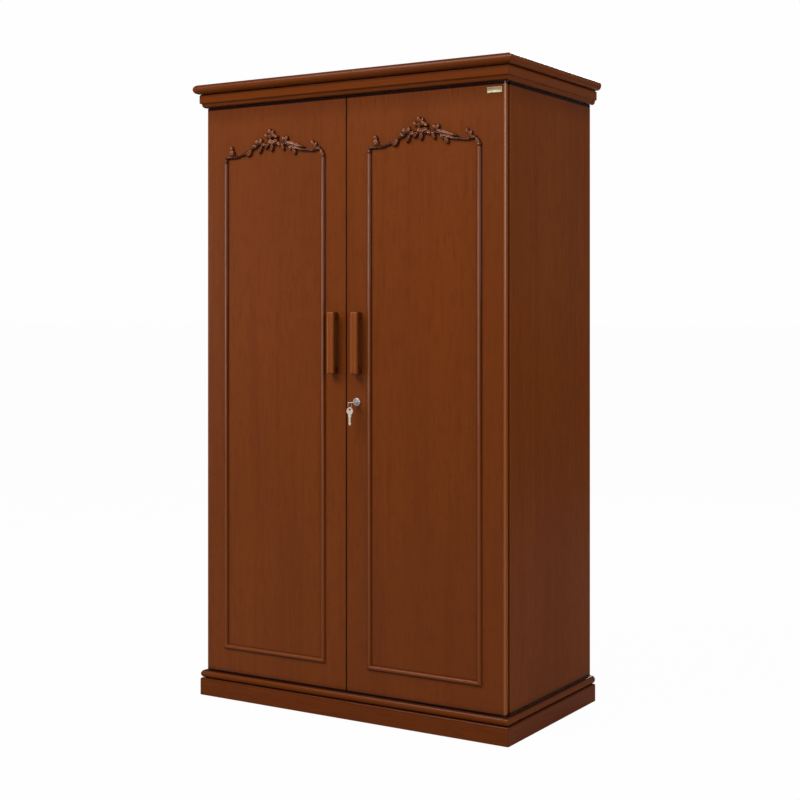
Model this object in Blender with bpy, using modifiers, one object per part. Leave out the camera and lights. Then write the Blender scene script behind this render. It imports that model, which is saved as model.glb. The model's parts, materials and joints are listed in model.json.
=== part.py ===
"""A two-door almirah: a stained hardwood wardrobe on a plinth, with a mitred cornice, pivot-hung doors,
planted beads, a carved crest on each door, bar handles, a cam lock with its keys, and two door bolts.

Metres, +Z up. The origin is on the floor, under the middle of the whole object. The front faces -Y.
Depths are first written from the plinth's front face, and at_depth() turns them into Y.
"""

from math import cos, pi, radians, sin, sqrt

import bmesh
import bpy
from mathutils import Matrix, Vector

# Fits
GAP = 0.0003
RUN_CLEAR = 0.0004

# Plinth and base board
PLINTH_W = 1.126
PLINTH_D = 0.600
PLINTH_H = 0.055
PLINTH_T = 0.018
PLINTH_ROUND = 0.0045
BASE_T = 0.025
BASE_NOSE_INSET = 0.001

# Carcass
PLINTH_LEDGE = 0.016
SIDE_H = 1.8244
SIDE_T = 0.018
SIDE_ARRIS = 0.002
SIDE_BEHIND_DOOR = 0.007
REAR_INSET = 0.004
TOP_T = 0.018
BACK_T = 0.006
PARTITION_T = 0.018
PARTITION_BEHIND_DOOR = 0.040
SHELF_T = 0.018
SHELF_SETBACK = 0.012

# Cornice, outward sizes from the plinth's faces
CORNICE_LOWER_H = 0.044
CORNICE_LOWER_OUT = 0.002
CORNICE_FOOT_H = 0.0135
CORNICE_FOOT_INSET = 0.0055
CORNICE_FOOT_DEPTH = 0.0090
CORNICE_FACE_ROUND = 0.0035
CORNICE_FACE_TOP_ROUND = 0.0060
CORNICE_UPPER_H = 0.0304
CORNICE_UPPER_OUT = 0.018
CORNICE_UPPER_DEPTH = 0.066
CORNICE_REAR_OVER = 0.006
DUST_COVER_T = 0.008

# Doors
DOOR_SETBACK = 0.012
DOOR_T = 0.024
DOOR_NOSE_R = 0.0112
DOOR_ARRIS = 0.0015
MEETING_GAP = 0.003
PIVOT_FLANGE_R = 0.010
PIVOT_FLANGE_T = 0.002
PIVOT_PIN_R = 0.004
PIVOT_PIN_LENGTH = 0.018
PIVOT_BORE_SPARE = 0.003

# Beads and crest planted on each door
BEAD_W = 0.013
BEAD_PROUD = 0.0065
FRAME_MARGIN = 0.0835
FRAME_HEAD_MARGIN = 0.182

# The crest's carving, on its right half: places are (across, up from the bead tops), with the outer ones
# measured inward from the outer bead and the inner ones outward from the crest's middle
STEM_OUTER = ((0.000, 0.004), (0.003, 0.018), (0.019, 0.024), (0.047, 0.019))
STEM_INNER = ((0.112, 0.030), (0.066, 0.047), (0.0, 0.055))
STEM_R = 0.0046
STEM_OUT = 0.0035
COLLAR_UP = 0.0065
COLLAR_SIZE = (0.0075, 0.0050, 0.0080)
# Each leaf: its middle, then half its length and half its width, how far it stands out, and its lean
INNER_LEAVES = (
    ((0.088, 0.041), 0.041, 0.0075, 0.0085, -20),
    ((0.086, 0.028), 0.019, 0.0070, 0.0070, -38),
    ((0.050, 0.064), 0.015, 0.0060, 0.0100, 35),
    ((0.041, 0.066), 0.014, 0.0055, 0.0085, 75),
    ((0.036, 0.043), 0.014, 0.0060, 0.0080, -62),
    ((0.016, 0.076), 0.019, 0.0065, 0.0095, 62),
)
OUTER_LEAVES = (
    ((0.028, 0.035), 0.015, 0.0050, 0.0075, 110),
    ((0.032, 0.050), 0.0075, 0.0060, 0.0090, 110),
)
TOP_LEAF = ((0.0, 0.083), 0.019, 0.0075, 0.0115, 90)
LOW_LEAF = ((0.0, 0.043), 0.013, 0.0060, 0.0085, 90)
BOSS = ((0.0, 0.061), 0.0095, 0.0095, 0.0120, 0)

# Handles
HANDLE_FROM_EDGE = 0.0415
HANDLE_LOW_Z = 1.053
HANDLE_H = 0.189
HANDLE_W = 0.0245
HANDLE_PROUD = 0.029
HANDLE_BAR_T = 0.014
HANDLE_LEG_H = 0.020
HANDLE_ROUND = 0.0025

# Lock and keys
LOCK_FROM_EDGE = 0.0375
LOCK_Z = 0.968
ROSE_R = 0.013
ROSE_PROUD = 0.0055
HOUSING_R = 0.0095
PLUG_R = 0.0070
PLUG_PROUD = 0.0006
NUT_R = 0.0150
NUT_T = 0.0040
CAM_T = 0.0020
CAM_W = 0.014
CAM_LENGTH = 0.052
CAM_STUB_R = 0.0035
CAM_SCREW_R = 0.0055
CAM_SCREW_T = 0.0024
STRIKE_W = 0.028
STRIKE_H = 0.050
KEY_T = 0.0020
KEY_BOW_R = 0.0115
KEY_HOLE_R = 0.0034
KEY_BRIDGE = 0.0040
KEY_NECK_LENGTH = 0.007
KEY_BLADE_W = 0.0080
KEY_BLADE_LENGTH = 0.026
KEYWAY_CLEAR = 0.0003
KEY_OUT = 0.036
RING_R = 0.0105
RING_WIRE_R = 0.00075

# Bolts on the left door
BOLT_FROM_EDGE = 0.0335
BOLT_ROD_R = 0.004
BOLT_TRAVEL = 0.018
BOLT_BARREL_R = 0.008
BOLT_BARREL_LENGTH = 0.075
BOLT_PLATE_W = 0.030
BOLT_PLATE_T = 0.0025
BOLT_TIP_OUT = 0.010
BOLT_KNOB_R = 0.004
BOLT_KNOB_LENGTH = 0.016
BOLT_KNOB_CLEAR = 0.002
BOLT_TAIL = 0.016
KEEPER_W = 0.024
KEEPER_T = 0.002
KEEPER_FLANGE = 0.026
KEEPER_TIP_CLEAR = 0.003

# Inside fittings
HAT_SHELF_Z = 1.600
RAIL_R = 0.0125
RAIL_BELOW_SHELF = 0.060
RAIL_BEHIND_DOOR = 0.270
SOCKET_R = 0.022
SOCKET_BASE_T = 0.003
SOCKET_RING_R = 0.016
SOCKET_LENGTH = 0.013
LOWEST_SHELF_Z = 0.440
SHELF_PITCH = 0.370
SHELF_COUNT = 4

# Across, from the middle: the carcass, the doors and what is set out from their edges
CARCASS_W = PLINTH_W - 2 * PLINTH_LEDGE
DOOR_W = (CARCASS_W - MEETING_GAP) / 2
FRAME_W = DOOR_W - 2 * FRAME_MARGIN
FRAME_CENTRE_X = (MEETING_GAP + DOOR_W) / 2
HANDLE_X = MEETING_GAP / 2 + HANDLE_FROM_EDGE
LOCK_X = MEETING_GAP / 2 + LOCK_FROM_EDGE
BOLT_X = MEETING_GAP / 2 + BOLT_FROM_EDGE

# Levels, from the floor up
BASE_Z = PLINTH_H + GAP
BASE_TOP = BASE_Z + BASE_T
SIDE_Z = BASE_TOP + GAP
SIDE_TOP = SIDE_Z + SIDE_H
TOP_Z = SIDE_TOP + GAP
TOP_TOP = TOP_Z + TOP_T
LOWER_TOP = TOP_Z + CORNICE_LOWER_H
UPPER_Z = LOWER_TOP + GAP
UPPER_TOP = UPPER_Z + CORNICE_UPPER_H
DOOR_Z = SIDE_Z + PIVOT_FLANGE_T + GAP
DOOR_TOP = SIDE_TOP - PIVOT_FLANGE_T - GAP
FRAME_BOTTOM_Z = DOOR_Z + FRAME_MARGIN
FRAME_TOP_Z = DOOR_TOP - FRAME_HEAD_MARGIN

# Depths, from the plinth's front face back
DOOR_FACE = DOOR_SETBACK
DOOR_BACK = DOOR_FACE + DOOR_T
PIVOT_DEPTH = DOOR_FACE + DOOR_T / 2
SIDE_FRONT = DOOR_BACK + SIDE_BEHIND_DOOR
CARCASS_REAR = PLINTH_D - REAR_INSET
BACK_FRONT = CARCASS_REAR - BACK_T
CORNICE_REAR = PLINTH_D + CORNICE_REAR_OVER
PARTITION_FRONT = DOOR_BACK + PARTITION_BEHIND_DOOR
SHELF_FRONT = PARTITION_FRONT + SHELF_SETBACK
TOP_FRONT = PLINTH_LEDGE

# Lock depths, from the door's face back, and the places of the keys
HOUSING_END = DOOR_T + GAP + NUT_T
CAM_START = HOUSING_END + 2 * GAP
CAM_END = CAM_START + CAM_T
STRIKE_T = CAM_START - DOOR_T - 2 * GAP
RING_INNER_R = RING_R - RING_WIRE_R
RING_DROP = RING_INNER_R - sqrt(RING_INNER_R**2 - (KEY_BRIDGE / 2) ** 2)
RING_RISE = KEY_T / 2 + GAP + RING_WIRE_R + RING_DROP
HOLE_TO_END = KEY_BRIDGE + KEY_HOLE_R
KEY_END_DEPTH = DOOR_FACE - ROSE_PROUD - KEY_OUT
BRIDGE_DEPTH = KEY_END_DEPTH + KEY_BRIDGE / 2
RING_Z = LOCK_Z + RING_RISE - RING_R

# Along each bolt, from the rod's tip: the knob clears the barrel over the whole travel
KNOB_FROM_TIP = BOLT_TIP_OUT + BOLT_BARREL_LENGTH + BOLT_TRAVEL + BOLT_KNOB_R + BOLT_KNOB_CLEAR
ROD_LENGTH = KNOB_FROM_TIP + BOLT_TAIL
KEEPER_LIP = BOLT_TRAVEL + KEEPER_T

# The front is the key ring's foremost point, the rear is the cornice
FOREMOST = BRIDGE_DEPTH - RING_R - RING_WIRE_R
MID_DEPTH = (FOREMOST + CORNICE_REAR) / 2

X_AXIS = Vector((1, 0, 0))
Y_AXIS = Vector((0, 1, 0))
Z_AXIS = Vector((0, 0, 1))
FACE_FRONT = Matrix.Rotation(pi / 2, 4, "X")


def at_depth(depth):
    """Y of a depth measured back from the plinth's front face."""
    return depth - MID_DEPTH


def new_collection(name):
    collection = bpy.data.collections.new(name)
    bpy.context.scene.collection.children.link(collection)
    return collection


def material(name, colour, roughness, metallic=0.0):
    made = bpy.data.materials.new(name)
    made.use_nodes = True
    shader = made.node_tree.nodes["Principled BSDF"]
    shader.inputs["Base Color"].default_value = (*colour, 1.0)
    shader.inputs["Roughness"].default_value = roughness
    shader.inputs["Metallic"].default_value = metallic
    return made


for old in list(bpy.data.objects):
    bpy.data.objects.remove(old, do_unlink=True)

PARTS = new_collection("almirah")
CUTTERS = new_collection("almirah_cutters")
MAHOGANY = material("mahogany_stain", (0.155, 0.038, 0.010), 0.38)
MAHOGANY_DARK = material("mahogany_stain_dark", (0.120, 0.029, 0.008), 0.40)
INNER_WOOD = material("inner_wood", (0.230, 0.095, 0.038), 0.55)
PLYWOOD = material("back_plywood", (0.300, 0.165, 0.080), 0.65)
NICKEL = material("nickel", (0.720, 0.700, 0.660), 0.22, 1.0)
STEEL = material("zinc_steel", (0.560, 0.560, 0.550), 0.38, 1.0)
BRASS = material("brass", (0.620, 0.430, 0.170), 0.32, 1.0)


def empty_at(name, place):
    """A joint's axis: moving pieces are its children."""
    axis = bpy.data.objects.new(name, None)
    axis.empty_display_size = 0.05
    axis.location = place
    PARTS.objects.link(axis)
    return axis


def add_object(name, data, matrix, finish, parent=None, collection=PARTS):
    made = bpy.data.objects.new(name, data)
    shift = Matrix.Translation(-parent.location) if parent else Matrix()
    made.parent = parent
    made.matrix_basis = shift @ matrix
    if finish:
        data.materials.append(finish)
    collection.objects.link(made)
    return made


def from_bmesh(name, shape, matrix, finish, parent=None, smooth=True):
    bmesh.ops.recalc_face_normals(shape, faces=shape.faces)
    data = bpy.data.meshes.new(name)
    shape.to_mesh(data)
    shape.free()
    if smooth:
        data.shade_smooth()
        data.set_sharp_from_angle(angle=radians(35))
    return add_object(name, data, matrix, finish, parent)


def round_edges(piece, width, segments=2):
    bevel = piece.modifiers.new("rounded_edges", "BEVEL")
    bevel.width = width
    bevel.segments = segments
    bevel.limit_method = "ANGLE"
    bevel.angle_limit = radians(40)


def board(name, x_span, depth_span, z_span, finish=MAHOGANY, parent=None, arris=0.0):
    """A plain board between two X, two depths and two heights."""
    low = Vector((x_span[0], at_depth(depth_span[0]), z_span[0]))
    high = Vector((x_span[1], at_depth(depth_span[1]), z_span[1]))
    shape = bmesh.new()
    size = Matrix.Diagonal((*(high - low), 1.0))
    bmesh.ops.create_cube(shape, size=1.0, matrix=size)
    made = from_bmesh(name, shape, Matrix.Translation((low + high) / 2), finish, parent, smooth=False)
    if arris:
        round_edges(made, arris)
    return made


def prism(name, outline, thickness, matrix, finish, parent=None):
    """A flat outline in local XY, extruded along local +Z."""
    shape = bmesh.new()
    face = shape.faces.new([shape.verts.new((x, y, 0.0)) for x, y in outline])
    lifted = bmesh.ops.extrude_face_region(shape, geom=[face])["geom"]
    raised = [item for item in lifted if isinstance(item, bmesh.types.BMVert)]
    bmesh.ops.translate(shape, verts=raised, vec=(0.0, 0.0, thickness))
    return from_bmesh(name, shape, matrix, finish, parent)


def turned(name, profile, matrix, finish, steps=24, parent=None, closed=True):
    """A (radius, height) profile, clockwise, turned about local Z."""
    shape = bmesh.new()
    points = [shape.verts.new((radius, 0.0, height)) for radius, height in profile]
    for first, second in zip(points, points[1:]):
        shape.edges.new((first, second))
    if closed:
        shape.edges.new((points[-1], points[0]))
    data = bpy.data.meshes.new(name)
    shape.to_mesh(data)
    shape.free()
    made = add_object(name, data, matrix, finish, parent)
    screw = made.modifiers.new("turned", "SCREW")
    screw.steps = steps
    screw.render_steps = steps
    screw.use_merge_vertices = True
    screw.merge_threshold = 0.00001
    screw.use_smooth_shade = True
    return made


def cylinder_cutter(name, radius, length, matrix, segments=24):
    shape = bmesh.new()
    bmesh.ops.create_cone(
        shape, cap_ends=True, segments=segments, radius1=radius, radius2=radius, depth=length
    )
    return as_cutter(from_bmesh(name, shape, matrix, None))


def box_cutter(name, size, centre):
    shape = bmesh.new()
    bmesh.ops.create_cube(shape, size=1.0, matrix=Matrix.Diagonal((*size, 1.0)))
    return as_cutter(from_bmesh(name, shape, Matrix.Translation(centre), None))


def as_cutter(piece):
    PARTS.objects.unlink(piece)
    CUTTERS.objects.link(piece)
    piece.hide_render = True
    piece.display_type = "WIRE"
    return piece


def boolean(piece, operation, other, overlapping=False):
    cut = piece.modifiers.new(operation.lower(), "BOOLEAN")
    cut.operation = operation
    cut.solver = "EXACT"
    cut.object = other
    cut.use_self = overlapping


def arc(centre, radii, start, end, count):
    """Points on an ellipse from one angle to another, in degrees."""
    turns = [radians(start + (end - start) * step / count) for step in range(count + 1)]
    return [(centre[0] + radii[0] * cos(turn), centre[1] + radii[1] * sin(turn)) for turn in turns]


def mitred_run(name, profile, corner, outward, up, length, mitres, finish=MAHOGANY, parent=None):
    """A moulding whose (outward, up) profile is swept from a corner, with mitred or square ends."""
    along = outward.cross(up)
    reach = max(abs(out) for out, _ in profile) + GAP
    shape = bmesh.new()
    ends = (-reach if mitres[0] else 0.0, length + (reach if mitres[1] else 0.0))
    face = shape.faces.new([shape.verts.new((ends[0], out, rise)) for out, rise in profile])
    lifted = bmesh.ops.extrude_face_region(shape, geom=[face])["geom"]
    raised = [item for item in lifted if isinstance(item, bmesh.types.BMVert)]
    bmesh.ops.translate(shape, verts=raised, vec=(ends[1] - ends[0], 0.0, 0.0))
    for mitred, place, side in ((mitres[0], GAP / 2, -1.0), (mitres[1], length - GAP / 2, 1.0)):
        if mitred:
            everything = shape.verts[:] + shape.edges[:] + shape.faces[:]
            bmesh.ops.bisect_plane(
                shape,
                geom=everything,
                plane_co=(place, 0.0, 0.0),
                plane_no=(side, -1.0, 0.0),
                clear_outer=True,
            )
            open_edges = [edge for edge in shape.edges if edge.is_boundary]
            bmesh.ops.holes_fill(shape, edges=open_edges)
    matrix = Matrix((along, outward, up)).transposed().to_4x4()
    matrix.translation = corner
    return from_bmesh(name, shape, matrix, finish, parent)


def three_runs(name, profile, rear, finish=MAHOGANY):
    """A moulding round the front and both sides of the plinth's rectangle, mitred at the front."""
    half = PLINTH_W / 2
    front = at_depth(0.0)
    corners = (
        ("front", (half, front), -Y_AXIS, PLINTH_W, (True, True)),
        ("right", (half, at_depth(rear)), X_AXIS, rear, (False, True)),
        ("left", (-half, front), -X_AXIS, rear, (True, False)),
    )
    for side, place, outward, length, mitres in corners:
        mitred_run(f"{name}_{side}", profile, (*place, 0.0), outward, Z_AXIS, length, mitres, finish)


def plinth():
    inner = -PLINTH_T
    section = [(inner, 0.0), (0.0, 0.0)]
    section += arc((-PLINTH_ROUND, PLINTH_H - PLINTH_ROUND), (PLINTH_ROUND,) * 2, 0, 90, 3)
    section.append((inner, PLINTH_H))
    three_runs("plinth", section, PLINTH_D, MAHOGANY_DARK)
    inside = PLINTH_W / 2 - PLINTH_T - GAP
    board("plinth_back", (-inside, inside), (PLINTH_D - PLINTH_T, PLINTH_D), (0.0, PLINTH_H), INNER_WOOD)


def base():
    radius = BASE_T / 2
    seat = -BASE_NOSE_INSET - radius
    section = arc((seat, BASE_Z + radius), (radius, radius), -90, 90, 10)
    section += [(seat - GAP, BASE_TOP), (seat - GAP, BASE_Z)]
    three_runs("base_moulding", section, PLINTH_D)
    edge = PLINTH_W / 2 + seat - 2 * GAP
    board("base_board", (-edge, edge), (PLINTH_W / 2 - edge, PLINTH_D), (BASE_Z, BASE_TOP), INNER_WOOD)


def carcass():
    outer = CARCASS_W / 2
    inner = outer - SIDE_T
    upright = (SIDE_Z, SIDE_TOP)
    depth = (SIDE_FRONT, CARCASS_REAR)
    board("side_panel_right", (inner, outer), depth, upright, MAHOGANY, arris=SIDE_ARRIS)
    board("side_panel_left", (-outer, -inner), depth, upright, MAHOGANY, arris=SIDE_ARRIS)
    board("top_panel", (-outer, outer), (TOP_FRONT, CARCASS_REAR), (TOP_Z, TOP_TOP), INNER_WOOD)
    inside = inner - GAP
    board("back_panel", (-inside, inside), (BACK_FRONT, CARCASS_REAR), upright, PLYWOOD)
    half = PARTITION_T / 2
    board("centre_partition", (-half, half), (PARTITION_FRONT, BACK_FRONT - GAP), upright, INNER_WOOD)


def cornice():
    seat = -TOP_FRONT + GAP
    nose = CORNICE_LOWER_OUT
    foot_top = TOP_Z + CORNICE_FOOT_H
    foot_back = nose - CORNICE_FOOT_INSET - CORNICE_FOOT_DEPTH
    low_round = CORNICE_FACE_ROUND
    top_round = CORNICE_FACE_TOP_ROUND
    section = [(seat, TOP_Z)]
    section += arc((foot_back, foot_top), (CORNICE_FOOT_DEPTH, CORNICE_FOOT_H), -90, 0, 7)
    section += arc((nose - low_round, foot_top + low_round), (low_round, low_round), -90, 0, 4)
    section += arc((nose - top_round, LOWER_TOP - top_round), (top_round, top_round), 0, 90, 5)
    section.append((seat, LOWER_TOP))
    three_runs("cornice_lower", section, CORNICE_REAR)

    radius = CORNICE_UPPER_H / 2
    round_at = (CORNICE_UPPER_OUT - radius, UPPER_Z + radius)
    back = CORNICE_UPPER_OUT - CORNICE_UPPER_DEPTH
    section = arc(round_at, (radius, radius), -90, 90, 10) + [(back, UPPER_TOP), (back, UPPER_Z)]
    three_runs("cornice_upper", section, CORNICE_REAR)

    rail_half = CARCASS_W / 2
    rail_depth = (CORNICE_REAR - SIDE_T, CORNICE_REAR)
    board("cornice_rear_rail", (-rail_half, rail_half), rail_depth, (TOP_TOP + GAP, LOWER_TOP), INNER_WOOD)
    cover_half = PLINTH_W / 2 + back - GAP
    cover_depth = (-back + GAP, CORNICE_REAR)
    board("dust_cover", (-cover_half, cover_half), cover_depth, (UPPER_Z, UPPER_Z + DUST_COVER_T), PLYWOOD)


def inside_fittings():
    wall = CARCASS_W / 2 - SIDE_T - GAP
    middle = PARTITION_T / 2 + GAP
    depth = (SHELF_FRONT, BACK_FRONT - GAP)
    board("hat_shelf", (-wall, -middle), depth, (HAT_SHELF_Z, HAT_SHELF_Z + SHELF_T), INNER_WOOD)
    for number in range(SHELF_COUNT):
        low = LOWEST_SHELF_Z + number * SHELF_PITCH
        board(f"shelf_{number + 1}", (middle, wall), depth, (low, low + SHELF_T), INNER_WOOD)

    rail_z = HAT_SHELF_Z - RAIL_BELOW_SHELF
    rail_y = at_depth(DOOR_BACK + RAIL_BEHIND_DOOR)
    bore = RAIL_R + GAP
    floor = SOCKET_BASE_T
    cup = [(0.0, floor), (bore, floor), (bore, SOCKET_LENGTH), (SOCKET_RING_R, SOCKET_LENGTH)]
    cup += [(SOCKET_RING_R, floor), (SOCKET_R, floor), (SOCKET_R, 0.0), (0.0, 0.0)]
    inward = Matrix.Rotation(pi / 2, 4, "Y")
    outward = Matrix.Rotation(-pi / 2, 4, "Y")
    left_place = Matrix.Translation((-wall, rail_y, rail_z)) @ inward
    right_place = Matrix.Translation((-middle, rail_y, rail_z)) @ outward
    turned("rail_socket_left", cup, left_place, STEEL, closed=False)
    turned("rail_socket_right", cup, right_place, STEEL, closed=False)
    length = wall - middle - 2 * (floor + GAP)
    tube = [(0.0, length), (RAIL_R, length), (RAIL_R, 0.0), (0.0, 0.0)]
    start = Matrix.Translation((-wall + floor + GAP, rail_y, rail_z)) @ inward
    turned("hanging_rail", tube, start, STEEL, closed=False)


def pivot(name, place, way):
    """A flanged pin screwed to the top panel or the base board; it stands along +Z or -Z."""
    tip = PIVOT_FLANGE_T + PIVOT_PIN_LENGTH
    profile = [(0.0, tip), (PIVOT_PIN_R, tip), (PIVOT_PIN_R, PIVOT_FLANGE_T)]
    profile += [(PIVOT_FLANGE_R, PIVOT_FLANGE_T), (PIVOT_FLANGE_R, 0.0), (0.0, 0.0)]
    turn = Matrix() if way > 0 else Matrix.Rotation(pi, 4, "X")
    return turned(name, profile, Matrix.Translation(place) @ turn, STEEL, closed=False)


def door_leaf(side, hand, axis):
    """A flush leaf, round on its hanging edge, with its two pivot bores."""
    outer = CARCASS_W / 2
    near = DOOR_ARRIS
    meet = MEETING_GAP / 2
    face = at_depth(DOOR_FACE)
    back = at_depth(DOOR_BACK)
    nose = DOOR_NOSE_R
    outline = arc((meet + near, back - near), (near, near), 180, 90, 2)
    outline += arc((outer - nose, back - nose), (nose, nose), 90, 0, 6)
    outline += arc((outer - nose, face + nose), (nose, nose), 0, -90, 6)
    outline += arc((meet + near, face + near), (near, near), -90, -180, 2)
    outline = [(hand * x, y) for x, y in outline]
    leaf = prism(f"door_{side}", outline, DOOR_TOP - DOOR_Z, Matrix.Translation((0, 0, DOOR_Z)), MAHOGANY, axis)
    depth = PIVOT_PIN_LENGTH + PIVOT_BORE_SPARE
    for end, level in (("foot", DOOR_Z), ("head", DOOR_TOP)):
        bore_at = Matrix.Translation((axis.location.x, axis.location.y, level))
        bore_r = PIVOT_PIN_R + RUN_CLEAR
        boolean(leaf, "DIFFERENCE", cylinder_cutter(f"bore_{end}_{side}", bore_r, 2 * depth, bore_at))
    return leaf


def bead_frame(side, hand, axis):
    """Half-round beads at the left, right and foot of the frame, mitred at the two lower corners."""
    face = at_depth(DOOR_FACE) - GAP
    section = arc((0.0, 0.0), (BEAD_W / 2, BEAD_PROUD), 0, 180, 8)
    centre = hand * FRAME_CENTRE_X
    half = FRAME_W / 2
    height = FRAME_TOP_Z - FRAME_BOTTOM_Z
    low_right = (centre + half, face, FRAME_BOTTOM_Z)
    low_left = (centre - half, face, FRAME_BOTTOM_Z)
    top_right = (centre + half, face, FRAME_TOP_Z)
    runs = (
        ("foot", low_right, -Z_AXIS, FRAME_W, (True, True)),
        ("right", top_right, X_AXIS, height, (False, True)),
        ("left", low_left, -X_AXIS, height, (True, False)),
    )
    for place, corner, outward, length, mitres in runs:
        name = f"bead_{place}_{side}"
        mitred_run(name, section, corner, outward, -Y_AXIS, length, mitres, MAHOGANY_DARK, axis)


def crest(side, hand, axis):
    """A carved vine over the bead frame: stems, leaves and buds on a flat back, alike on both hands."""
    shape = bmesh.new()

    def leaf(middle, half_length, half_width, stand, lean, mirror=1):
        turn = Matrix.Rotation(-radians(lean), 4, "Y")
        place = Matrix.Translation((mirror * middle[0], 0.0, middle[1]))
        flip = Matrix.Scale(mirror, 4, X_AXIS)
        size = Matrix.Diagonal((half_length, stand, half_width, 1.0))
        matrix = place @ flip @ turn @ size
        bmesh.ops.create_uvsphere(shape, u_segments=10, v_segments=6, radius=1.0, matrix=matrix)

    for mirror in (1, -1):
        for item in INNER_LEAVES:
            leaf(*item, mirror)
        for (inward, up), *shape_of_leaf in OUTER_LEAVES:
            leaf((FRAME_W / 2 - inward, up), *shape_of_leaf, mirror)
        collar_at = Matrix.Translation((mirror * FRAME_W / 2, 0.0, COLLAR_UP))
        collar = collar_at @ Matrix.Diagonal((*COLLAR_SIZE, 1.0))
        bmesh.ops.create_uvsphere(shape, u_segments=10, v_segments=6, radius=1.0, matrix=collar)
    for item in (TOP_LEAF, LOW_LEAF, BOSS):
        leaf(*item)
    bmesh.ops.recalc_face_normals(shape, faces=shape.faces)
    stems = crest_stems(side)
    shape.from_mesh(stems)
    bpy.data.meshes.remove(stems)

    face = at_depth(DOOR_FACE) - GAP
    place = Vector((hand * FRAME_CENTRE_X, face, FRAME_TOP_Z + 2 * GAP))
    data = bpy.data.meshes.new(f"crest_{side}")
    shape.to_mesh(data)
    shape.free()
    made = add_object(f"crest_{side}", data, Matrix.Translation(place), MAHOGANY_DARK, axis)
    room = Vector((FRAME_W * 2, FRAME_W, FRAME_W))
    middle = place + Vector((0.0, -room.y / 2, room.z / 2))
    boolean(made, "INTERSECT", box_cutter(f"crest_back_{side}", room, middle), overlapping=True)
    return made


def crest_stems(side):
    """The mesh of one continuous stem, left collar to right collar."""
    half = [(FRAME_W / 2 - inward, up) for inward, up in STEM_OUTER] + list(STEM_INNER)
    points = [(-across, up) for across, up in half[:-1]] + half[::-1]
    curve = bpy.data.curves.new(f"stem_{side}", "CURVE")
    curve.dimensions = "3D"
    curve.bevel_depth = STEM_R
    curve.bevel_resolution = 1
    curve.resolution_u = 3
    curve.use_fill_caps = True
    spline = curve.splines.new("NURBS")
    spline.points.add(len(points) - 1)
    spline.use_endpoint_u = True
    spline.order_u = 3
    for point, (across, up) in zip(spline.points, points):
        point.co = (across, -STEM_OUT, up, 1.0)
    holder = add_object(f"stem_{side}", curve, Matrix(), None)
    bpy.context.view_layer.update()
    graph = bpy.context.evaluated_depsgraph_get()
    mesh = bpy.data.meshes.new_from_object(holder.evaluated_get(graph))
    bpy.data.objects.remove(holder, do_unlink=True)
    welded = bmesh.new()
    welded.from_mesh(mesh)
    bmesh.ops.remove_doubles(welded, verts=welded.verts, dist=0.00001)
    bmesh.ops.recalc_face_normals(welded, faces=welded.faces)
    welded.to_mesh(mesh)
    welded.free()
    return mesh


def handle(side, hand, axis):
    """A wooden bar on two legs, with a finger gap behind it."""
    top = HANDLE_H
    inside = HANDLE_PROUD - HANDLE_BAR_T
    leg = HANDLE_LEG_H
    outline = [(GAP, 0.0), (HANDLE_PROUD, 0.0), (HANDLE_PROUD, top), (GAP, top)]
    outline += [(GAP, top - leg), (inside, top - leg), (inside, leg), (GAP, leg)]
    matrix = Matrix((-Y_AXIS, Z_AXIS, -X_AXIS)).transposed().to_4x4()
    right_face = hand * HANDLE_X + HANDLE_W / 2
    matrix.translation = (right_face, at_depth(DOOR_FACE), HANDLE_LOW_Z)
    made = prism(f"handle_{side}", outline, HANDLE_W, matrix, MAHOGANY, axis)
    round_edges(made, HANDLE_ROUND)
    return made


def key_outline(tip_shape):
    """A key's bow, neck and blade in local XY, from the bow's end along +X."""
    bow_half_angle = 180 - 25
    bow = arc((KEY_BOW_R, 0.0), (KEY_BOW_R, KEY_BOW_R), 180 + bow_half_angle, 180 - bow_half_angle, 16)
    blade_half = KEY_BLADE_W / 2
    start = 2 * KEY_BOW_R + KEY_NECK_LENGTH
    end = start + KEY_BLADE_LENGTH
    shoulder = [(start, KEY_BOW_R * sin(radians(25))), (start, blade_half)]
    cuts = []
    if tip_shape == "cut":
        bite = KEY_BLADE_W / 4
        pitch = KEY_BLADE_LENGTH / 6
        for number in range(1, 5):
            cuts += [(start + number * pitch, blade_half - bite * (number % 2))]
    point = [(end - blade_half, blade_half), (end, 0.0), (end - blade_half, -blade_half)]
    lower = [(start, -blade_half), (start, -KEY_BOW_R * sin(radians(25)))]
    return bow, shoulder + cuts + point + lower


def key(name, matrix, tip_shape, parent):
    """A flat key cut from plate, with a hole near the bow's end."""
    bow, rest = key_outline(tip_shape)
    curve = bpy.data.curves.new(name, "CURVE")
    curve.dimensions = "2D"
    curve.fill_mode = "BOTH"
    curve.extrude = KEY_T / 2
    hole = arc((HOLE_TO_END, 0.0), (KEY_HOLE_R, KEY_HOLE_R), 0, 330, 11)
    for outline in (bow + rest, hole):
        spline = curve.splines.new("POLY")
        spline.points.add(len(outline) - 1)
        spline.use_cyclic_u = True
        for point, (x, y) in zip(spline.points, outline):
            point.co = (x, y, 0.0, 1.0)
    return add_object(name, curve, matrix, NICKEL, parent)


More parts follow.
